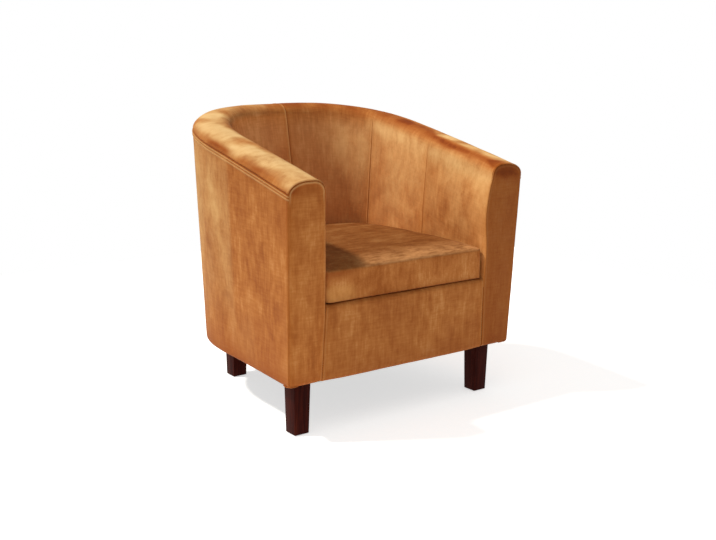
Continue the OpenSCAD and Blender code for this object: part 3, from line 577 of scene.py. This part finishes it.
# The numbers after the seam ends are the panels' brightness: the inner panels are made brighter than the outside
# ones (0.9), partly for their nap and partly as painted light.
panels = (
    ("arm_velvet_left", "arm_cover_left", -front_end, -arm_seam,
     ((arch_edge, 0), (faint_seam, 1)), 1.35, (0, 0, 1)),
    ("side_velvet_left", "side_cover_left", -arm_seam, -corner_seam,
     ((faint_seam, 1), (plain_seam, 1)), 1.4, (1, 0, 0)),
    ("back_velvet_left", "back_cover_left", -corner_seam, middle_seam,
     ((plain_seam, 1), (raised_side, 0)), 1.4, (0, -1, 0)),
    ("back_velvet_right", "back_cover_right", middle_seam, corner_seam,
     ((sunk_side, 0), (plain_seam, 1)), 1.25, (0, -1, 0)),
    ("side_velvet_right", "side_cover_right", corner_seam, arm_seam,
     ((plain_seam, 1), (faint_seam, 1)), 1.3, (-1, 0, 0)),
    ("arm_velvet_right", "arm_cover_right", arm_seam, front_end,
     ((faint_seam, 1), (soft_edge, 0)), 1.15, (0, 0, 1)))
for seed, (name, node, a, b, ends, tone_and_painted_light, outward) in enumerate(panels):
    panel = loft(name, spread(a, b, round((b - a) / 8)), inside_path, inside_places,
                 (*ends, (crown_seam, 0), (None, 0)), inside_puff, inside_nap_and_painted_light, tone_and_painted_light, 11 + 5 * seed, outward)
    panel.data.materials.append(velvet_walls)
    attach(panel, "chair")
    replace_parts(panel, node)


# Arm front covers: a shaped velvet panel over thin foam on each arm, sewn in along the arch at the
# top and folded under the frame at the lower edge.
arm_base, ring_z, inner_z = 93, 296, seam_z + crown_h - inner_drop


def arm_edges(z, side):
    """Outer and inner depth of the arm front at a height."""
    up_out, up_in = np.clip((z - seam_z) / crown_h, 0, 1), np.clip((z - inner_z) / inner_drop, 0, 1)
    low = np.clip((z - lower_z) / (ring_z - lower_z), 0, 1)
    outer = outer_round - outer_round * np.sqrt(1 - up_out ** 2)
    straight_part = np.where(z > seat_z, arm_thick - (z - seat_z) / (inner_z - seat_z),
                             arm_base + (arm_thick - arm_base) * low)
    inner = np.where(z > inner_z, inner_start + inner_round * np.sqrt(1 - up_in ** 2), straight_part)
    return outer, inner + swell(side, z)


def arm_front(side, name):
    """The panel of the left arm (side -1) or of the right one (1)."""
    arch = seam_z + crown_h * np.sin(np.radians(np.linspace(0, 90, 22)))
    rows = [(turned_in, lower_z), (17.0, lower_z)] + rounded(7)
    rows += [(0.0, z) for z in np.linspace(lower_z + lower_round, seam_z, 60)[1:-1]]
    rows += [(0.0, z) for z in arch]
    set_in, z = np.array(rows).T
    half = np.array([0, 0.007, 0.014, 0.022, 0.03, 0.04, 0.05, 0.06, 0.075, 0.09, 0.11, 0.14, 0.19, 0.25, 0.32,
                     0.4])
    share = np.concatenate([half, [0.5], 1 - half[::-1]])
    outer, inner = arm_edges(z, side)
    q = outer[:, None] + (inner - outer)[:, None] * share
    z = np.broadcast_to(z[:, None], q.shape)
    up_z = np.concatenate([np.linspace(lower_z - 60, seam_z, 160), arch])
    down_z = np.concatenate([arch[::-1], np.linspace(inner_z, lower_z - 60, 160)])
    edge = np.stack([np.concatenate([arm_edges(up_z, side)[0], arm_edges(down_z, side)[1]]),
                     np.concatenate([up_z, down_z])], -1)
    begin, step = edge[:-1], np.diff(edge, axis=0)
    spot = np.stack([q, z], -1).reshape(-1, 1, 2)
    along_step = np.clip(((spot - begin) * step).sum(-1) / np.maximum((step ** 2).sum(-1), 1e-9), 0, 1)
    distance = np.linalg.norm(spot - (begin + step * along_step[..., None]), axis=-1).min(1).reshape(q.shape)
    arched = np.clip((z - 560) / 25, 0, 1)
    arch_side, outer_side, inner_side = (np.array(sewn(distance, seam)) for seam in (
        arch_seam if side < 0 else soft_arch, rounded_edge, front_seam))
    depth, painted_seam_shade, painted_seam_highlight = arch_side * arched + (1 - arched) * np.where(share < 0.5, outer_side, inner_side)
    base = wall(side, q, z)
    depth = depth - 2.2 * np.clip(distance / 40, 0, 1) ** 0.7 + 0.5 * ripple(base, 90, 40 + side) + set_in[:, None]
    points = wall(side * (1 - straight * depth / arm_length), q, z + 1.2 * np.clip((150 - z) / 12, 0, 1))
    # Painted shade on the arm front: deeper towards its lower edge, in a thin crease down the outer corner of the
    # left arm, and along the top where it rolls into the arch and at its top outer corner; the right arm front also
    # has a deeper pile all over.
    lower = np.exp(-(z - 144) / 40) * (0.4 - 0.2 * side)
    crease = 0.6 * (side < 0) * np.exp(-((q - 6) / 2) ** 2) * np.clip((z - 330) / 200, 0, 1)
    top = (0.52 + 0.05 * side) * np.exp(-((z - 602) / 22) ** 2)
    top_corner = 0.8 * np.exp(-((z - 597) / 15) ** 2 - ((q - 14) / 16) ** 2)
    marks = {"painted_seam_shade": painted_seam_shade, "painted_seam_highlight": painted_seam_highlight, "near_edge": np.exp(-distance / 12),
             "tone_and_painted_light": np.full(q.shape, 0.9 - 0.09 * side), "pale_nap_and_painted_light": 0 * z,
             "deep_nap_and_painted_shade": np.clip(lower + crease + top + top_corner + 0.26 * (1 + side), 0, 1)}
    panel = cloth_panel(name, points, np.stack([q, z], -1), marks, (0, -1, 0))
    panel.data.materials.append(velvet_walls)
    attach(panel, "chair")
    return panel


near_arch = [0, 0.7, 1.4, 2.2, 3, 4, 5, 6, 7.5, 9, 11, 14]
arch_seam = (near_arch, [1.7, 1.6, 1.3, 0.8, 0.2, -0.6, -1.3, -1.3, -0.5, -0.1, 0, 0], 1.0)
soft_arch = (near_arch, [1.7, 1.6, 1.3, 0.9, 0.5, 0.1, -0.1, -0.3, -0.3, -0.2, 0, 0], 0.6)
front_seam = (near_seam, [1.5, 0.9, 0.3, -0.1, -0.35, -0.45, -0.35, -0.15, 0, 0], 0.8)
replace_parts(arm_front(-1, "arm_front_velvet_left"), "arm_front_cover_left")
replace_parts(arm_front(1, "arm_front_velvet_right"), "arm_front_cover_right")


# Front rail cover: one velvet panel between the arm fronts, folded under the rail below and
# rolled over its padded top edge under the seat cushion.
def front_half(z):
    """Half the width between the arm fronts at a height."""
    low, high = wall(1, arm_base, lower_z)[0], wall(1, arm_thick, ring_z)[0]
    return low + (high - low) * ((z - lower_z) / (ring_z - lower_z))


def front_place(z):
    """Place of the front face at a height."""
    return front_y + lean * (1 - (z - lower_z) / (seam_z - lower_z))


nose, rail_top, rail_width, narrowing = 9.0, 319.2, 492, 21 / arm_length
nose_y = front_place(rail_top - nose)
path = [(front_y + lean + turned_in, lower_z)] + [(front_y + lean + q, z) for q, z in rounded(8)]
path += [(front_place(z), z) for z in np.linspace(146, rail_top - nose, 24)]
path += [(nose_y + nose * (1 - math.cos(a)), rail_top - nose + nose * math.sin(a))
         for a in np.radians(np.linspace(0, 90, 9))[1:]]
path += [(y, rail_top) for y in (-300.0, -290.0, -279.0)]
path = np.array(path)
half = np.array([0, 0.7, 1.4, 2.2, 3, 4, 5, 6, 7, 9, 12, 16, 22, 30, 40, 52, 66])
share = np.concatenate([half, np.linspace(80, rail_width - 80, 30), rail_width - half[::-1]]) / rail_width
y, z = path[:, 0][:, None], path[:, 1][:, None]
reach = front_half(np.clip(z, lower_z, 340)) - 0.2 - narrowing * (y - front_place(z))
x = (2 * share - 1) * reach
base = np.stack(np.broadcast_arrays(x, y, z), -1)
distance = reach - np.abs(x)
depth, painted_seam_shade, painted_seam_highlight = sewn(distance, front_seam)
depth = depth - 2.0 * np.clip(distance / 60, 0, 1) + 0.9 * ripple(base, 120, 51) + 0.3 * ripple(base, 34, 52)
t = np.gradient(path, axis=0)
t /= np.linalg.norm(t, axis=1)[:, None]
gone = np.concatenate([[0], np.cumsum(np.hypot(*np.diff(path, axis=0).T))])
points = np.stack([base[..., 0], base[..., 1] + depth * t[:, 1][:, None],
                   base[..., 2] - depth * t[:, 0][:, None]], -1)
# deeper orange towards the folded lower edge: painted shade where the cloth rolls under
marks = {"painted_seam_shade": painted_seam_shade, "painted_seam_highlight": painted_seam_highlight, "near_edge": np.exp(-distance / 12) * np.ones(x.shape),
         "tone_and_painted_light": np.full(x.shape, 0.88), "deep_nap_and_painted_shade": 0.7 * np.exp(-gone[:, None] / 60) + 0 * x, "pale_nap_and_painted_light": 0 * x}
lie = np.stack(np.broadcast_arrays(x, gone[:, None]), -1)
rail_cover = cloth_panel("front_rail_velvet", points, lie, marks, (0, -1, 0))
rail_cover.data.materials.append(velvet_walls)
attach(rail_cover, "chair")
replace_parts(rail_cover, "front_rail_cover")


# Seat cushion: a loose box cushion, a velvet cover with a side band round a foam core. It is cut
# to the inside of the tub behind its straight front, and it is blown up by the cloth simulation.
half_width, cushion_front, cushion_low, cushion_high, corner = 244.5, -320.5, 321.4, 399.4, 14.0
wall_gap, sim_frames, push_limit, crown_limit = 6, 20, 3.5 * MM, 22 * MM


def cushion_outline(inset, count=30):
    """The cushion seen from above, from its right front corner round the back to the left one."""
    turn = np.radians(np.linspace(0, 90, 7))
    right_front = [(half_width - corner + (corner - inset) * math.sin(a),
                    cushion_front + corner - (corner - inset) * math.cos(a)) for a in turn]
    s = 0.86 * (1 - 2 * np.arange(1, count) / count)
    p = wall(s, seat_wall(1 - np.abs(s)) + wall_gap + inset, seat_z)
    behind = [(min(half_width - inset, max(inset - half_width, x)), y) for x, y, _ in p]
    return np.array(right_front + behind + [(-x, y) for x, y in right_front[::-1]])


ring = cushion_outline(0.5)
deselect_all()
bpy.ops.mesh.primitive_cylinder_add(vertices=len(ring), radius=1, depth=2, end_fill_type="NGON")
cushion = bpy.context.object
cushion.name = cushion.data.name = "seat_cushion"
for vertex in cushion.data.vertices:
    k = round(math.atan2(vertex.co.x, vertex.co.y) / (2 * math.pi) * len(ring)) % len(ring)
    z = cushion_high - 1 if vertex.co.z > 0 else cushion_low + 1
    vertex.co = Vector((*ring[-1 - k], z)) * MM
bpy.ops.object.mode_set(mode="EDIT")
bpy.ops.mesh.select_all(action="SELECT")
bpy.ops.mesh.normals_make_consistent(inside=False)
bpy.ops.mesh.select_all(action="DESELECT")
bpy.ops.mesh.select_mode(type="FACE")
shell = bmesh.from_edit_mesh(cushion.data)
for face in shell.faces:
    face.select = abs(face.normal.z) > 0.9
bpy.ops.mesh.region_to_loop()
bpy.ops.mesh.bevel(offset=5 * MM, segments=3, affect="EDGES")
bpy.ops.object.mode_set(mode="OBJECT")
remesh = cushion.modifiers.new("remesh", "REMESH")
remesh.mode, remesh.voxel_size = "VOXEL", 6.5 * MM
bpy.ops.object.modifier_apply(modifier=remesh.name)
start = np.array([v.co for v in cushion.data.vertices])
cloth = cushion.modifiers.new("stuffing", "CLOTH")
cloth.settings.use_pressure = True
cloth.settings.uniform_pressure_force = 4
cloth.settings.effector_weights.gravity = 0
cloth.settings.quality = 5
cloth.settings.tension_stiffness = cloth.settings.compression_stiffness = 12
cloth.settings.bending_stiffness = 0.4
cloth.point_cache.frame_end = sim_frames
for count in range(1, sim_frames + 1):
    bpy.context.scene.frame_set(count)
bpy.ops.object.modifier_apply(modifier=cloth.name)
bpy.context.scene.frame_set(1)
lift = np.array([v.co for v in cushion.data.vertices]) - start

# The stuffing is soft: its lift is evened out over the mesh, for longer behind the front, and held
# within limits. The base lies flat on the deck, and the front corners fill the space between the arms.
pairs = np.array([edge.vertices for edge in cushion.data.edges])
beside = np.bincount(pairs.ravel(), minlength=len(start))[:, None]
for count in range(38):
    around = np.zeros(lift.shape)
    np.add.at(around, pairs[:, 0], lift[pairs[:, 1]])
    np.add.at(around, pairs[:, 1], lift[pairs[:, 0]])
    eased = 0.4 * lift + 0.6 * around / beside
    lift = eased if count < 14 else np.where(start[:, 1:2] > -0.2, eased, lift)
far = np.linalg.norm(lift[:, :2], axis=1)
lift[:, :2] *= np.minimum(1, push_limit / np.maximum(far, 1e-9))[:, None]
lift[:, 2] = np.where(lift[:, 2] > 0, crown_limit * np.tanh(lift[:, 2] / crown_limit), 0) * (start[:, 2] > 0.345)
settled = start + lift
ahead = np.clip((-0.27 - start[:, 1]) / 0.04, 0, 1)
settled[:, 0] += 0.0025 * ahead * np.clip(start[:, 0] / 0.2, -1, 1) ** 9
settled[:, 2] = np.where(start[:, 2] < 0.335, 0.3218 + (start[:, 2] - 0.3224) * 0.7, settled[:, 2])
settled[:, 1] -= 0.003 * np.clip((0.334 - start[:, 2]) / 0.006, 0, 1) * np.clip((-0.31 - start[:, 1]) / 0.006, 0, 1)
cushion.data.vertices.foreach_set("co", settled.astype(np.float32).ravel())
cushion.data.update()
smooth = cushion.modifiers.new("rounding", "SUBSURF")
smooth.levels = smooth.render_levels = 1
bpy.ops.object.modifier_apply(modifier=smooth.name)
deselect_all()
cushion.select_set(True)
bpy.context.view_layer.objects.active = cushion
bpy.ops.object.shade_smooth()

pile = Finish("velvet_cushion", specular_ior_level=0.08, sheen_weight=0.03, sheen_roughness=0.4,
              sheen_tint=(1.0, 0.80, 0.50, 1))
spot = pile.place()
across, ahead, up = (pile.node("ShaderNodeSeparateXYZ", {}, {0: spot}, k) for k in range(3))
top = up.between(0.391, 0.400)
patches = pile.noise(spot, 7.5, 4, 0.62, 0.6)
brushed = (pile.noise(pile.place((9, 34, 22)), 1.5, 4, 0.6, 0.4) * top
           + (pile.noise(pile.place((46, 46, 14)), 1.5, 4, 0.6, 0.3) * 0.55 + 0.22) * (1 - top))
blots = pile.noise(spot, 26, 4, 0.6, 0.3)
hairs = pile.noise(pile.place((110, 420, 300)), 1.6, 2, 0.5)
threads = pile.noise(pile.place((130, 130, 15)), 1.5, 3, 0.65)
colour = pile.ramp(patches * 0.32 + brushed * 0.30 + blots * 0.18 + hairs * 0.08 + threads * 0.14,
                   (0.32, (0.18, 0.040, 0.006)), (0.45, (0.31, 0.091, 0.017)),
                   (0.53, (0.42, 0.150, 0.037)), (0.63, (0.57, 0.262, 0.088)))
bristles = pile.noise(pile.place((26, 150, 60)), 1.4, 4, 0.6, 0.5)
# a lighter band along the front of the top: partly nap, partly a painted highlight, fading out to the left where
# the arm's shadow falls
rolled = top * (ahead * -1 + across * 0.05).between(0.225, 0.33) * across.between(-0.19, -0.10)
# the upper left of the front face is darkened: a painted shadow of the left arm
blush_and_painted_shadow = (1 - top) * (across * -1).between(0.10, 0.20) * up.between(0.365, 0.392)
# the lower left of the front face is lightened: painted light
painted_lit_corner = (1 - top) * (across * -1).between(0.12, 0.19) * (up * -1).between(-0.378, -0.350)
# the top is made darker than the sides
colour = pile.mix(1.0, colour, 1 - top * 0.45, "MULTIPLY")
shining = rolled * (bristles * 1.3 + blots * 0.7 - 0.35)
colour = pile.mix(shining.between(0.05, 1.0), colour, (0.57, 0.265, 0.10))
colour = pile.mix((blush_and_painted_shadow * blots).between(0.05, 0.6) * 0.7, colour, (0.24, 0.050, 0.007))
colour = pile.mix((painted_lit_corner * brushed).between(0.1, 0.8) * 0.7, colour, (0.60, 0.29, 0.085))
# painted shade darkens the bottom edge, in the gap above the rail
colour = pile.mix((up * -1).between(-0.328, -0.323) * 0.6, colour, (0.16, 0.028, 0.004))
# painted shade darkens both ends, in the gaps against the arms
colour = pile.mix((across * across).between(0.0588, 0.0604) * 0.8, colour, (0.13, 0.022, 0.003))
pile.out(base_color=colour, roughness=0.62 + patches * 0.3,
         normal=pile.bump(pile.noise(spot, 900, 2, 0.5) * 0.5 + hairs * 0.7 + brushed * 0.6, 0.35, 0.0012))
cushion.data.materials.append(pile.material)
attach(cushion, "seat_cushion")
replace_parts(cushion, "cushion_cover", "cushion_core")


# Deck cloth: a plain woven brown cotton cloth, stretched over the deck pad under the loose cushion
# and held all round its edge.
def seat_plan(gap, front):
    """The space inside the wall, seen from above and cut off at its front."""
    s = station(np.linspace(length_at(-1), length_at(1), 121))
    p = wall(s, seat_wall(1 - np.abs(s)) + gap, ring_z)
    return np.column_stack([p[:, 0], np.maximum(p[:, 1], front)])


def stretched_sheet(name, edge, front, z, thick, sag, seed, outward):
    """A cloth held all round its edge, whose rows run from the front to the back."""
    end = edge[:, 1].max()
    ys = np.concatenate([front + np.linspace(0, 1, 30)[:-1] * (end - front - 6), end - np.array([5, 3, 1.5, 0.5])])
    side = edge[edge[:, 0] <= 0]
    side = side[np.argsort(side[:, 1])]
    half = np.array([np.interp(y, side[:, 1], -side[:, 0]) for y in ys])
    x = np.linspace(-1, 1, 41) * half[:, None]
    y = np.broadcast_to(ys[:, None], x.shape)
    inner = np.clip(np.minimum(half[:, None] - np.abs(x), np.minimum(y - front, end - y)) / 60, 0, 1)
    base = np.stack([x, y, np.full(x.shape, z)], -1)
    base[..., 2] -= sag * inner - 0.4 * inner * ripple(base, 60, seed)
    piece = cloth_panel(name, base, np.stack([x, y], -1), {}, outward, thick)
    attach(piece, "chair")
    return piece


def woven(name, light, dark, pitch, rough=0.85):
    """A plain weave: threads pass over and under each other at a pitch in metres."""
    weave = Finish(name, specular_ior_level=0.2)
    spot = weave.place()
    x, y = (weave.node("ShaderNodeSeparateXYZ", {}, {0: spot}, k) for k in range(2))
    turn = math.pi / pitch
    threads = (x * turn).math("SINE", x * turn) * (y * turn).math("SINE", y * turn)
    slub = weave.noise(spot, 180, 3, 0.6)
    colour = weave.mix((threads * 0.35 + slub * 0.7).between(0.1, 0.75), dark, light)
    return weave.out(base_color=colour, roughness=rough, normal=weave.bump(threads + slub, 0.6, 0.0006))


deck_front = -279.0
deck = stretched_sheet("deck_cloth_sheet", seat_plan(1.5, deck_front), deck_front, 321.0, 1.5, 1.2, 61, (0, 0, 1))
deck.data.materials.append(woven("deck_weave", (0.20, 0.10, 0.045), (0.09, 0.04, 0.018), 0.0016))
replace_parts(deck, "deck_cloth")


# Dust cover: thin black cambric under the frame, cut a little smaller than the chair and stapled
# over the covers' folded edges.
s = station(np.linspace(length_at(-1), length_at(1), 121))
under = wall(s, 12, lower_z)[:, :2]
dust = stretched_sheet("dust_sheet", under, float(under[:, 1].min()) + 12, 133.4, 0.6, 0.3, 71, (0, 0, -1))
dust.data.materials.append(woven("dust_weave", (0.035, 0.033, 0.033), (0.012, 0.011, 0.011), 0.001))
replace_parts(dust, "dust_cover")


# Staples: flat staples of zinc plated wire hold the dust cover all round, shot into the frame a
# little way in from its edge.
staple_inset, corner_gap = 19, 34
line = wall(station(np.linspace(length_at(-1) + corner_gap, length_at(1) - corner_gap, 40)), staple_inset,
            lower_z)[:, :2]
spots = [(x, y, math.atan2(dy, dx)) for (x, y), (dx, dy) in zip(line, np.gradient(line, axis=0))]
spots += [(x, float(under[:, 1].min()) + staple_inset, 0.0) for x in np.linspace(-280, 280, 13)]
deselect_all()
bpy.ops.mesh.primitive_cube_add(size=1)
staple = bpy.context.object
for vertex in staple.data.vertices:
    vertex.co = Vector((vertex.co.x * 10.5, vertex.co.y * 1.3, vertex.co.z * 0.8 + 132.8)) * MM
bpy.ops.object.mode_set(mode="EDIT")
bpy.ops.mesh.select_all(action="SELECT")
bpy.ops.mesh.bevel(offset=0.3 * MM, segments=1, affect="EDGES")
bpy.ops.object.mode_set(mode="OBJECT")
for x, y, turned in spots:
    copy = staple.copy()
    copy.data = staple.data.copy()
    copy.data.transform(Matrix.Translation((x * MM, y * MM, 0)) @ Matrix.Rotation(turned, 4, "Z"))
    bpy.context.scene.collection.objects.link(copy)
    copy.select_set(True)
    bpy.context.view_layer.objects.active = copy
staple.select_set(False)
bpy.data.objects.remove(staple)
bpy.ops.object.join()
staples = bpy.context.object
staples.name = staples.data.name = "dust_cover_staples"
zinc = Finish("staple_zinc", metallic=1.0)
wear = zinc.noise(zinc.place(), 260, 3, 0.6)
colour = zinc.ramp(wear, (0.35, (0.42, 0.42, 0.41)), (0.65, (0.66, 0.66, 0.64)))
staples.data.materials.append(zinc.out(base_color=colour, roughness=0.3 + wear * 0.25,
                                       normal=zinc.bump(wear, 0.2, 0.0002)))
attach(staples, "chair")


# Legs: square tapered legs of solid wood, stained dark red brown and lacquered, with eased edges.
# Each is screwed up into the frame by the hanger bolt in its top.
leg_top, leg_foot, leg_high_z, leg_low_z, eased = 46.0, 40.0, 136.6, 2.0, 1.8


def stained_wood():
    wood = Finish("leg_stain", specular_ior_level=0.03, coat_roughness=0.3)
    grain = wood.noise(wood.place((90, 90, 5)), 1.6, 5, 0.62, 0.8)
    pores = wood.noise(wood.place((520, 520, 26)), 1.3, 2, 0.5)
    colour = wood.ramp(grain * 0.8 + pores * 0.25, (0.32, (0.012, 0.0009, 0.0004)), (0.52, (0.032, 0.0028, 0.0010)),
                       (0.72, (0.056, 0.0068, 0.0022)))
    return wood.out(base_color=colour, coat_weight=grain * 0.03, roughness=0.42 + pores * 0.14,
                    normal=wood.bump(pores * 0.6 + grain * 0.4, 0.12, 0.0005))


leg_finish = stained_wood()
for name, x, y in (("front_leg_left", -286.0, -259.433), ("front_leg_right", 286.0, -259.433),
                   ("back_leg_left", -176.0, 212.567), ("back_leg_right", 176.0, 212.567)):
    deselect_all()
    bpy.ops.mesh.primitive_cube_add(size=1)
    leg = bpy.context.object
    leg.name = leg.data.name = f"{name}_wood"
    for vertex in leg.data.vertices:
        width, z = (leg_top, leg_high_z) if vertex.co.z > 0 else (leg_foot, leg_low_z)
        vertex.co = Vector((x + vertex.co.x * width, y + vertex.co.y * width, z)) * MM
    bpy.ops.object.mode_set(mode="EDIT")
    bpy.ops.mesh.select_all(action="SELECT")
    bpy.ops.mesh.bevel(offset=eased * MM, segments=3, affect="EDGES")
    bpy.ops.mesh.normals_make_consistent(inside=False)
    bpy.ops.object.mode_set(mode="OBJECT")
    bpy.ops.object.shade_smooth_by_angle(angle=math.radians(35))
    leg.data.materials.append(leg_finish)
    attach(leg, "chair")
    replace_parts(leg, name)


# Frame: the pine rails, plywood rings and ribs, lining boards, foam, springs and fixings inside
# the cover keep their built shapes and get their own materials.
def sawn_timber():
    wood = Finish("pine", specular_ior_level=0.3)
    grain = wood.noise(wood.place((4, 60, 60)), 1.5, 4, 0.6, 1.2)
    colour = wood.ramp(grain, (0.35, (0.52, 0.33, 0.15)), (0.6, (0.68, 0.48, 0.26)))
    return wood.out(base_color=colour, roughness=0.6 + grain * 0.2, normal=wood.bump(grain, 0.2, 0.0006))


plies_per_metre = 2094


def plywood():
    wood = Finish("birch_plywood", specular_ior_level=0.3)
    spot = wood.place()
    turn = wood.node("ShaderNodeSeparateXYZ", {}, {0: spot}, 2) * plies_per_metre
    plies = turn.math("SINE", turn)
    grain = wood.noise(wood.place((10, 70, 70)), 1.4, 4, 0.6, 0.9)
    colour = wood.ramp(grain * 0.8 + plies * 0.1, (0.3, (0.42, 0.26, 0.12)), (0.6, (0.62, 0.44, 0.25)))
    return wood.out(base_color=colour, roughness=0.6 + grain * 0.2, normal=wood.bump(plies, 0.15, 0.0004))


def grainy(name, dark, light, scale, rough, depth, metal=0.0):
    stuff = Finish(name, specular_ior_level=0.3, metallic=metal)
    grain = stuff.noise(stuff.place(), scale, 4, 0.65)
    return stuff.out(base_color=stuff.ramp(grain, (0.35, dark), (0.65, light)), roughness=rough + grain * 0.2,
                     normal=stuff.bump(grain, 0.4, depth))


inside = {
    sawn_timber(): ("front_rail", "corner_blocks", "arm_top_rail_left", "arm_top_rail_right", "back_top_rail"),
    plywood(): (
        "lower_ring", "seat_ring", "lower_ribs", "upper_ribs", "arm_front_board_left", "arm_front_board_right"),
    grainy("fibreboard", (0.26, 0.17, 0.09), (0.42, 0.30, 0.17), 400, 0.7, 0.0005): (
        "outside_lining", "inside_lining"),
    grainy("cut_foam", (0.62, 0.55, 0.33), (0.83, 0.77, 0.52), 700, 0.8, 0.0010): (
        "arm_foam_left", "arm_foam_right", "back_foam", "arm_front_pad_left", "arm_front_pad_right",
        "front_rail_pad", "cushion_core"),
    grainy("wadding_fibre", (0.68, 0.67, 0.63), (0.88, 0.87, 0.84), 160, 0.85, 0.0016): (
        "rail_wadding_left", "rail_wadding_right", "rail_wadding_back", "deck_pad"),
    grainy("spring_wire", (0.20, 0.20, 0.21), (0.34, 0.34, 0.35), 90, 0.3, 0.0002, 1.0): (
        "seat_springs", "spring_clips"),
    grainy("zinc_plate", (0.48, 0.48, 0.46), (0.66, 0.66, 0.64), 220, 0.28, 0.0002, 1.0): (
        "hanger_bolts", "tee_nuts"),
    woven("hessian_weave", (0.44, 0.30, 0.15), (0.20, 0.12, 0.05), 0.003): ("deck_hessian",),
    grainy("glide_plastic", (0.016, 0.016, 0.017), (0.030, 0.030, 0.032), 500, 0.4, 0.0002): ("leg_glides",),
}
for material, names in inside.items():
    for name in names:
        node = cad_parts[name]
        for slot in node.material_slots:
            slot.material = material
